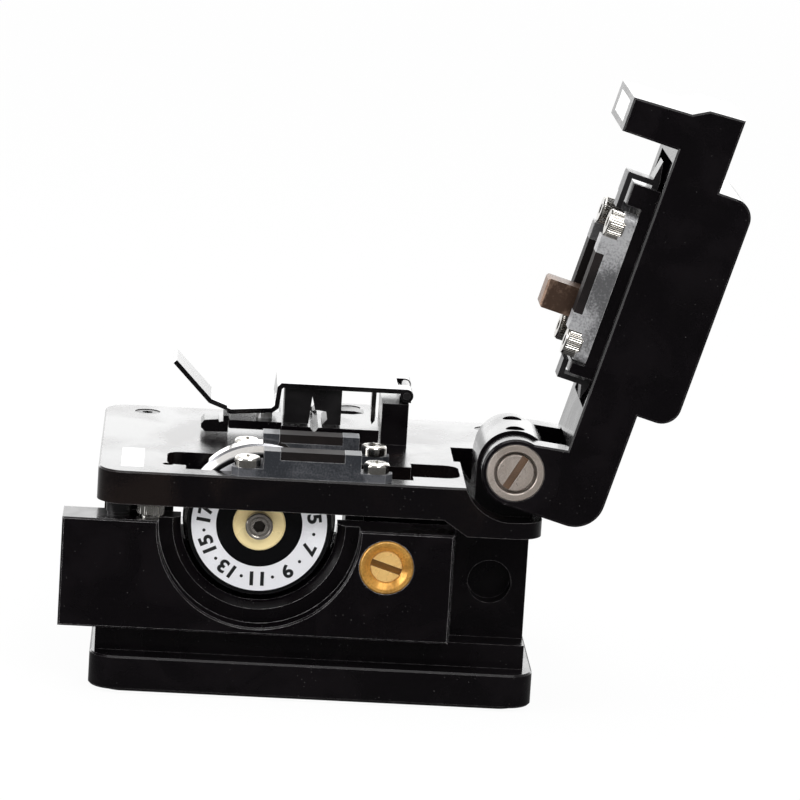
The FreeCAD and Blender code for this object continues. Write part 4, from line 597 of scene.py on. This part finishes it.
def place_new(name: str, data: bpy.types.ID) -> bpy.types.Object:
    """Make an object and put it into the scene.

    Args:
        name: The object's name.
        data: Its mesh, curve, lamp or camera.

    Returns:
        The new object.
    """
    made = bpy.data.objects.new(name, data)
    bpy.context.scene.collection.objects.link(made)
    return made


def mesh_of(name: str, build: bmesh.types.BMesh) -> bpy.types.Mesh:
    """Turn a bmesh into a mesh and free it.

    Args:
        name: The mesh's name.
        build: The mesh that was built.

    Returns:
        The new mesh.
    """
    mesh = bpy.data.meshes.new(name)
    build.to_mesh(mesh)
    build.free()
    return mesh


def circle(count: int) -> list[tuple[float, float]]:
    """List the cosine and sine of equal steps round a circle."""
    turns = [math.tau * i / count for i in range(count)]
    return [(math.cos(turn), math.sin(turn)) for turn in turns]


def new_piece(name: str, build: bmesh.types.BMesh, body: str, shop: Paintshop,
              finish: Finish) -> bpy.types.Object:
    """Turn a bmesh into a piece that rides on a body.

    Args:
        name: The piece's name.
        build: The mesh, which is freed.
        body: The CAD body that it rides on.
        shop: The paint shop.
        finish: Its finish.

    Returns:
        The new object.
    """
    bmesh.ops.remove_doubles(build, verts=build.verts, dist=WELD)
    bmesh.ops.recalc_face_normals(build, faces=build.faces)
    mesh = mesh_of(name, build)
    mesh.materials.append(shop.material(finish))
    piece = place_new(name, mesh)
    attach(piece, body)
    log.info("%s: %d faces on %s", name, len(mesh.polygons), body)
    return piece


def tube_wall(build: bmesh.types.BMesh, rings: list[list[Vector]]) -> None:
    """Join rings of points into one closed skin, each ring to the next and the last to the first.

    Args:
        build: The mesh to add to.
        rings: Rings with as many points each, in order round the section.
    """
    rows = [[build.verts.new(point) for point in ring] for ring in rings]
    count = len(rows[0])
    for here, after in zip(rows, rows[1:] + rows[:1]):
        for i in range(count):
            j = (i + 1) % count
            build.faces.new((here[i], here[j], after[j], after[i]))


def add_prism(build: bmesh.types.BMesh, first: list[Vector], second: list[Vector]) -> None:
    """Add a closed prism between two outlines of as many points each.

    Args:
        build: The mesh to add to.
        first: The points of one end.
        second: The points of the other end, in the same order.
    """
    near = [build.verts.new(point) for point in first]
    far = [build.verts.new(point) for point in second]
    build.faces.new(near)
    build.faces.new(far[::-1])
    for i in range(len(near)):
        j = (i + 1) % len(near)
        build.faces.new((near[i], far[i], far[j], near[j]))


# ------------------------------------------------------------------ dial

@dataclass
class NumberedDial:
    """Pale number ring on the dial's face, with its printed numbers and dots.

    Lengths are in metres, save digit_bold and digit_depth, which are in the typeface's own
    unit. first is the angle of the number 1, in degrees from +Y towards +Z.
    """

    inner: float = 6.3 * MM
    outer: float = 9.9 * MM
    lift: float = 0.05 * MM
    ink: float = 0.02 * MM
    digit_height: float = 2.1 * MM
    digit_bold: float = 0.036
    digit_spread: float = 1.12
    digit_depth: float = 0.01
    digit_curve_steps: int = 6
    dot: float = 0.24 * MM
    dot_sides: int = 20
    steps: int = 120
    first: float = 74.2
    count: int = 11
    face: float = field(init=False)
    middle: Vector = field(init=False)

    def build(self, shop: Paintshop) -> None:
        """Make the ring and the ink on it.

        Args:
            shop: The paint shop.
        """
        low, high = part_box("dial")
        self.face = high.x
        self.middle = (low + high) / 2
        new_piece("dial_number_ring", self.ring_mesh(), "blade_wheel", shop, DIAL_PALE)
        new_piece("dial_numbers", self.ink_mesh(), "blade_wheel", shop, DIAL_INK)

    def ring_mesh(self) -> bmesh.types.BMesh:
        """Make the flat pale ring.

        Returns:
            Its mesh.
        """
        build = bmesh.new()
        rings = []
        for radius, x in ((self.inner, 0.0), (self.inner, self.lift),
                          (self.outer, self.lift), (self.outer, 0.0)):
            rings.append([self.spot(radius, 360.0 * i / self.steps, x)
                          for i in range(self.steps)])
        tube_wall(build, rings)
        return build

    def spot(self, radius: float, degrees: float, ahead: float) -> Vector:
        """Find a point on the dial.

        Args:
            radius: Distance from the axle.
            degrees: Angle from +Y towards +Z.
            ahead: Distance in front of the dial's face.

        Returns:
            The point in the row frame.
        """
        turn = math.radians(degrees)
        return Vector((self.face + ahead, self.middle.y + radius * math.cos(turn),
                       self.middle.z + radius * math.sin(turn)))

    def ink_mesh(self) -> bmesh.types.BMesh:
        """Make the numbers and the dots between them.

        Returns:
            Their mesh.
        """
        build = bmesh.new()
        radius = (self.inner + self.outer) / 2
        step = 360.0 / self.count
        for i in range(self.count):
            degrees = self.first - i * step
            self.add_number(build, str(2 * i + 1), radius, degrees)
            self.add_dot(build, radius, degrees - step / 2)
        return build

    def add_number(self, build: bmesh.types.BMesh, text: str, radius: float,
                   degrees: float) -> None:
        """Add one number whose top points outward.

        Args:
            build: The mesh to add to.
            text: The number's digits.
            radius: Distance of its middle from the axle.
            degrees: Its angle from +Y towards +Z.
        """
        curve = bpy.data.curves.new("number_" + text, "FONT")
        curve.body = text
        curve.align_x = "CENTER"
        curve.offset = self.digit_bold
        curve.resolution_u = self.digit_curve_steps
        curve.extrude = self.digit_depth
        writer = place_new("number_" + text, curve)
        bpy.context.view_layer.update()
        mesh = bpy.data.meshes.new_from_object(writer)
        heights = [vertex.co.y for vertex in mesh.vertices]
        scale = self.digit_height / (max(heights) - min(heights))
        waist = (max(heights) + min(heights)) / 2
        outward = self.spot(1.0, degrees, 0.0) - self.spot(0.0, degrees, 0.0)
        across = outward.cross(ALONG_X)
        start = self.spot(radius, degrees, self.lift)
        for vertex in mesh.vertices:
            x, y, z = vertex.co
            ahead = self.ink * (0.5 + z / (2 * self.digit_depth))
            vertex.co = (start + across * (x * scale * self.digit_spread)
                         + outward * ((y - waist) * scale) + Vector((ahead, 0.0, 0.0)))
        build.from_mesh(mesh)
        bpy.data.objects.remove(writer)
        bpy.data.curves.remove(curve)
        bpy.data.meshes.remove(mesh)

    def add_dot(self, build: bmesh.types.BMesh, radius: float, degrees: float) -> None:
        """Add one round dot.

        Args:
            build: The mesh to add to.
            radius: Distance of its middle from the axle.
            degrees: Its angle from +Y towards +Z.
        """
        middle = self.spot(radius, degrees, self.lift + self.ink)
        rim = [middle + Vector((0.0, y, z)) * self.dot for y, z in circle(self.dot_sides)]
        add_prism(build, rim, [point - ALONG_X * self.ink for point in rim])


# ------------------------------------------------------------------ turned faces

@dataclass
class Recess:
    """A slot of four sides, or an even polygon, sunk into a turned face, in millimetres.

    A slot runs to reach on each side of the axis, and half is half its width. A polygon's
    corners lie at reach.
    """

    sides: int
    reach: float
    half: float
    degrees: float
    deep: float
    # The recess's own darker finish: painted shade on its walls and floor.
    finish: Finish
    past_face: float = 1.0

    def outline(self) -> list[tuple[float, float]]:
        """Lay out the recess's corners.

        Returns:
            Corners as (Y, Z) offsets from the axis.
        """
        turn = math.radians(self.degrees)
        if self.sides == 4:
            corners = [(-self.reach, -self.half), (self.reach, -self.half),
                       (self.reach, self.half), (-self.reach, self.half)]
        else:
            corners = [(self.reach * y, self.reach * z) for y, z in circle(self.sides)]
        return [(y * math.cos(turn) - z * math.sin(turn),
                 y * math.sin(turn) + z * math.cos(turn)) for y, z in corners]


@dataclass
class TurnedFace:
    """A turned part about the X axis with its fine steps, in place of a plainer CAD node.

    Each step is its depth behind the face and its radius. inset is how far the back end stands
    inside the node's box. Steps, bore and inset are in millimetres.
    """

    node: str
    body: str
    finish: Finish
    steps: list[tuple[float, float]]
    bore: float = 0.0
    recess: Recess | None = None
    inset: float = 0.01
    segments: int = 96

    def build(self, shop: Paintshop) -> None:
        """Turn the part, sink its recess and let it stand for the node.

        Args:
            shop: The paint shop.
        """
        low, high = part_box(self.node)
        middle = (low + high) / 2
        start, face = low.x + self.inset * MM, high.x
        profile = [(start, self.bore * MM)]
        profile += [(face - deep * MM, radius * MM) for deep, radius in self.steps]
        profile.append((start, self.steps[-1][1] * MM))
        build = bmesh.new()
        tube_wall(build, [[Vector((x, middle.y + radius * y, middle.z + radius * z))
                           for y, z in circle(self.segments)] for x, radius in profile])
        piece = new_piece(self.node + "_fine", build, self.body, shop, self.finish)
        if self.recess is not None:
            self.sink(piece, face - self.steps[0][0] * MM, middle, shop)
        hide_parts(self.node)

    def sink(self, piece: bpy.types.Object, face: float, middle: Vector,
             shop: Paintshop) -> None:
        """Cut the recess out of the piece.

        Args:
            piece: The turned piece.
            face: The X place of its face.
            middle: A point on its axis.
            shop: The paint shop.
        """
        build = bmesh.new()
        floor, top = face - self.recess.deep * MM, face + self.recess.past_face * MM
        add_prism(build, *([Vector((x, middle.y + y * MM, middle.z + z * MM))
                            for y, z in self.recess.outline()] for x in (floor, top)))
        bmesh.ops.recalc_face_normals(build, faces=build.faces)
        mesh = mesh_of("recess", build)
        mesh.materials.append(shop.material(self.recess.finish))
        cutter = place_new("recess", mesh)
        cut = piece.modifiers.new("recess", "BOOLEAN")
        cut.object = cutter
        cut.operation = "DIFFERENCE"
        cut.solver = "EXACT"
        # The cut walls and floor take the cutter's darker finish: painted shade in the recess.
        cut.material_mode = "TRANSFER"
        bpy.context.view_layer.update()
        view = bpy.context.evaluated_depsgraph_get()
        carved = bpy.data.meshes.new_from_object(piece.evaluated_get(view))
        piece.modifiers.remove(cut)
        piece.data = carved
        bpy.data.objects.remove(cutter)
        log.info("%s is cut to %d faces", piece.name, len(carved.polygons))


def add_turned_faces(shop: Paintshop) -> None:
    """Give the brass bush, its eccentric, the hinge and the hub screw their fine steps.

    Args:
        shop: The paint shop.
    """
    TurnedFace("brass_bush", "carriage", BRASS_SHADED, bore=2.34,
               steps=[(0.8, 2.34), (0.05, 3.2), (0.0, 3.35), (0.0, 3.7), (0.3, 4.0)]).build(shop)
    TurnedFace("eccentric_screw", "eccentric", BRASS_LIT,
               steps=[(0.3, 0.0), (0.3, 2.18), (0.42, 2.3)],
               recess=Recess(sides=4, reach=2.6, half=0.5, degrees=-17.0, deep=0.7,
                             finish=BRASS_SLOT_SHADE)).build(shop)
    TurnedFace("near_hinge_bush", "lid", NICKEL, bore=2.05,
               steps=[(1.6, 2.05), (1.6, 3.15), (0.12, 3.15), (0.0, 3.27), (0.0, 4.05),
                      (0.19, 4.24)]).build(shop)
    TurnedFace("hinge_pin", "frame", NICKEL,
               steps=[(0.0, 0.0), (0.0, 2.52), (0.15, 2.67), (1.5, 2.67), (1.5, 2.0)],
               recess=Recess(sides=4, reach=3.2, half=0.55, degrees=60.0, deep=0.5,
                             finish=HINGE_SLOT_SHADE)).build(shop)
    TurnedFace("hub_screw", "blade_wheel", BURNISHED,
               steps=[(0.12, 0.0), (0.12, 1.2), (0.4, 1.25), (0.4, 1.5), (0.06, 1.55),
                      (0.0, 1.65), (0.0, 1.8), (0.2, 2.0), (1.3, 2.0)],
               recess=Recess(sides=6, reach=0.95, half=0.0, degrees=12.0, deep=0.9,
                             finish=SOCKET_SHADE)).build(shop)


# ------------------------------------------------------------------ knurled heads

@dataclass
class KnurledSleeve:
    """Straight knurl round the head of a cap screw."""

    name: str
    body: str
    inner: float
    teeth: int = 44
    tooth: tuple[float, ...] = (0.0, 0.8, 1.0, 0.8)
    depth: float = 0.10 * MM
    root_lift: float = 0.02 * MM
    skin_depth: float = 0.05 * MM
    break_height: float = 0.22 * MM

    def build(self, shop: Paintshop, spots: list[Vector], axis: Vector, low: float,
              high: float) -> None:
        """Make one sleeve round each head, as one piece.

        Args:
            shop: The paint shop.
            spots: A point on each head's axis.
            axis: Direction from under the head to its face.
            low: Start of the sleeve along the axis, from the origin.
            high: End of the sleeve along the axis, from the origin.
        """
        build = bmesh.new()
        side = axis.orthogonal().normalized()
        other = axis.cross(side)
        for spot in spots:
            foot = spot - axis * spot.dot(axis)
            rings = []
            for height, rise in ((low, 0.0), (low + self.break_height, 1.0),
                                 (high - self.break_height, 1.0), (high, 0.0)):
                rings.append(self.ring(foot + axis * height, side, other, rise))
            rings.append(self.plain_ring(foot + axis * high, side, other))
            rings.append(self.plain_ring(foot + axis * low, side, other))
            tube_wall(build, rings)
        new_piece(self.name, build, self.body, shop, BRIGHT)

    def ring(self, middle: Vector, side: Vector, other: Vector, rise: float) -> list[Vector]:
        """Lay out one toothed ring.

        Args:
            middle: Its centre.
            side: First direction across the axis.
            other: Second direction across the axis.
            rise: How far out the teeth stand, from 0 to 1.

        Returns:
            Its points.
        """
        points = []
        for i, (x, y) in enumerate(circle(self.teeth * len(self.tooth))):
            crest = self.tooth[i % len(self.tooth)]
            radius = self.inner + self.root_lift + self.depth * rise * crest
            points.append(middle + (side * x + other * y) * radius)
        return points

    def plain_ring(self, middle: Vector, side: Vector, other: Vector) -> list[Vector]:
        """Lay out one smooth ring inside the head's skin, with as many points."""
        radius = self.inner - self.skin_depth
        return [middle + (side * x + other * y) * radius
                for x, y in circle(self.teeth * len(self.tooth))]


def node_points(node: str) -> list[Vector]:
    """List a CAD node's vertices in the row frame."""
    return [vertex.co.copy() for vertex in frame["nodes"][node].data.vertices]


def corner_spots(node: str, first: Vector, second: Vector, inset: float) -> list[Vector]:
    """Find the axes of four equal screws at the corners of a node's outline.

    Args:
        node: The CAD node that holds the screws.
        first: One direction across the screws.
        second: The other direction across the screws.
        inset: The radius of a head.

    Returns:
        A point on each axis.
    """
    points = node_points(node)
    spans = []
    for way in (first, second):
        reach = [point.dot(way) for point in points]
        spans.append((min(reach) + inset, max(reach) - inset))
    return [first * a + second * b for a in spans[0] for b in spans[1]]


CLAMP_HEAD_RADIUS = 2.1 * MM
CLAMP_HEAD_TALL = 2.45 * MM
HEIGHT_HEAD_TALL = 1.8 * MM
HEAD_BREAK = 0.15 * MM


def add_knurls(shop: Paintshop) -> None:
    """Put the knurled sleeves on the clamp screws and the blade height screw.

    Args:
        shop: The paint shop.
    """
    lift = Vector(next(j["axis"] for j in frame["joints"] if j["name"] == "clamp_slide"))
    along = ALONG_X.cross(lift)
    top = max(point.dot(-lift) for point in node_points("clamp_screws"))
    sleeve = KnurledSleeve("clamp_screw_knurls", "clamp", inner=CLAMP_HEAD_RADIUS)
    spots = corner_spots("clamp_screws", ALONG_X, along, sleeve.inner)
    sleeve.build(shop, spots, -lift, top - CLAMP_HEAD_TALL, top - HEAD_BREAK)
    low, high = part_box("blade_height_screw")
    middle = (low + high) / 2
    sleeve = KnurledSleeve("height_screw_knurl", "carriage", inner=(high.x - low.x) / 2)
    sleeve.build(shop, [middle], UPWARD, high.z - HEIGHT_HEAD_TALL, high.z - HEAD_BREAK)


# ------------------------------------------------------------------ studio

@dataclass(frozen=True)
class Lamp:
    """One soft rectangular lamp."""

    name: str
    place: Point
    wide: float
    tall: float
    power: float
    shine: float


@dataclass
class Studio:
    """Pale floor, white surroundings, soft lamps and the camera.

    Each span is the X where the white begins and the X where it is full: of a direction for
    the world, and in metres for the floor.
    """

    eye: Point = (0.6905, -0.0220, 0.1740)
    azimuth: float = 87.204
    elevation: float = 10.896
    roll: float = -3.517
    lens: float = 211.5
    sensor: float = 36.0
    clip: tuple[float, float] = (0.01, 50.0)
    lamp_aim: Point = (0.0, 0.0, 0.03)
    lamps: tuple[Lamp, ...] = (
        Lamp("lamp_above", (-0.05, 0.0, 0.9), 0.9, 0.9, 7.0, 1.0),
        Lamp("lamp_behind", (-1.2, 0.0, 0.3), 1.8, 0.5, 4.2, 0.4),
        Lamp("lamp_front", (0.25, -0.8, 0.35), 0.6, 0.6, 4.0, 1.0),
        Lamp("lamp_side", (0.8, 0.3, 0.75), 0.5, 0.5, 6.0, 0.35))
    world_span: tuple[float, float] = (0.25, -0.35)
    world_rise: float = 0.90
    world_shine: float = 0.08
    world_least: float = 0.25
    floor_reach: float = 6.0
    floor_tone: float = 0.86
    floor_rough: float = 0.9
    floor_span: tuple[float, float] = (0.1, -0.4)
    floor_rise: float = 0.85
    floor_shine: float = 0.1
    floor_seen: float = 0.95

    def build(self) -> None:
        """Make the floor, world, lamps and camera."""
        self.make_world()
        self.make_floor()
        self.make_lamps()
        self.make_camera()
        bpy.context.scene.view_settings.view_transform = "Standard"

    def make_world(self) -> None:
        """Surround the object with white that the camera and polished metal see."""
        world = bpy.data.worlds.new("studio_world")
        world.use_nodes = True
        bpy.context.scene.world = world
        net = NodeTree(world.node_tree)
        shade = world.node_tree.nodes["Background"]
        path = net.add("ShaderNodeLightPath")
        place = net.add("ShaderNodeTexCoord")
        parts = net.add("ShaderNodeSeparateXYZ")
        net.join(place.outputs["Generated"], parts.inputs["Vector"])
        behind = net.ramp(parts.outputs["X"], *self.world_span)
        glossy = net.sum("MULTIPLY_ADD", behind, self.world_rise, self.world_shine)
        lit = net.sum("MULTIPLY", path.outputs["Is Glossy Ray"], glossy)
        seen = net.sum("MAXIMUM", path.outputs["Is Camera Ray"], lit)
        net.join(net.sum("MAXIMUM", seen, self.world_least), shade.inputs["Strength"])
        shade.inputs["Color"].default_value = WHITE

    def make_floor(self) -> None:
        """Lay the pale floor, which keeps a faint shadow."""
        build = bmesh.new()
        bmesh.ops.create_grid(build, x_segments=1, y_segments=1, size=self.floor_reach)
        mesh = mesh_of("studio_floor", build)
        floor = place_new("studio_floor", mesh)
        material = bpy.data.materials.new("studio_floor_white")
        material.use_nodes = True
        net = NodeTree(material.node_tree)
        nodes = material.node_tree.nodes
        matt = nodes["Principled BSDF"]
        matt.inputs["Base Color"].default_value = (*[self.floor_tone] * 3, 1.0)
        matt.inputs["Roughness"].default_value = self.floor_rough
        matt.inputs["Specular IOR Level"].default_value = 0.0
        glow = net.add("ShaderNodeEmission")
        glow.inputs["Color"].default_value = WHITE
        path = net.add("ShaderNodeLightPath")
        parts = net.add("ShaderNodeSeparateXYZ")
        net.join(net.object_place(), parts.inputs["Vector"])
        behind = net.sum("MULTIPLY_ADD", net.ramp(parts.outputs["X"], *self.floor_span),
                         self.floor_rise, self.floor_shine)
        net.join(net.sum("MAXIMUM", behind, path.outputs["Is Camera Ray"]),
                 glow.inputs["Strength"])
        watched = net.sum("MULTIPLY", path.outputs["Is Camera Ray"], self.floor_seen)
        mix = net.add("ShaderNodeMixShader")
        net.join(net.sum("MAXIMUM", watched, path.outputs["Is Glossy Ray"]), mix.inputs["Fac"])
        net.join(matt.outputs["BSDF"], mix.inputs[1])
        net.join(glow.outputs["Emission"], mix.inputs[2])
        net.join(mix.outputs["Shader"], nodes["Material Output"].inputs["Surface"])
        mesh.materials.append(material)

    def make_lamps(self) -> None:
        """Hang the lamps and aim each at the object."""
        for lamp in self.lamps:
            light = bpy.data.lights.new(lamp.name, "AREA")
            light.shape = "RECTANGLE"
            light.size = lamp.wide
            light.size_y = lamp.tall
            light.energy = lamp.power
            light.specular_factor = lamp.shine
            holder = place_new(lamp.name, light)
            holder.location = lamp.place
            aim = Vector(self.lamp_aim) - Vector(lamp.place)
            holder.rotation_euler = aim.to_track_quat("-Z", "Y").to_euler()

    def make_camera(self) -> None:
        """Set the camera at its eye point, tilted by its roll."""
        azimuth, elevation = math.radians(self.azimuth), math.radians(self.elevation)
        roll = math.radians(self.roll)
        back = Vector((math.sin(azimuth) * math.cos(elevation),
                       -math.cos(azimuth) * math.cos(elevation), math.sin(elevation)))
        level = Vector((math.cos(azimuth), math.sin(azimuth), 0.0))
        upright = back.cross(level)
        right = level * math.cos(roll) - upright * math.sin(roll)
        up = level * math.sin(roll) + upright * math.cos(roll)
        turn = Matrix((right, up, back)).transposed().to_4x4()
        camera = bpy.data.cameras.new("studio_camera")
        camera.lens = self.lens
        camera.sensor_width = self.sensor
        camera.clip_start, camera.clip_end = self.clip
        holder = place_new("studio_camera", camera)
        holder.matrix_world = Matrix.Translation(self.eye) @ turn
        bpy.context.scene.camera = holder


def main() -> None:
    """Build the sub-assemblies in order and set the stage."""
    logging.basicConfig(level=logging.INFO, format="%(name)s: %(message)s")
    shop = Paintshop()
    Studio().build()
    dress_frame(shop)
    NumberedDial().build(shop)
    add_turned_faces(shop)
    add_knurls(shop)


if __name__ == "__main__":
    main()
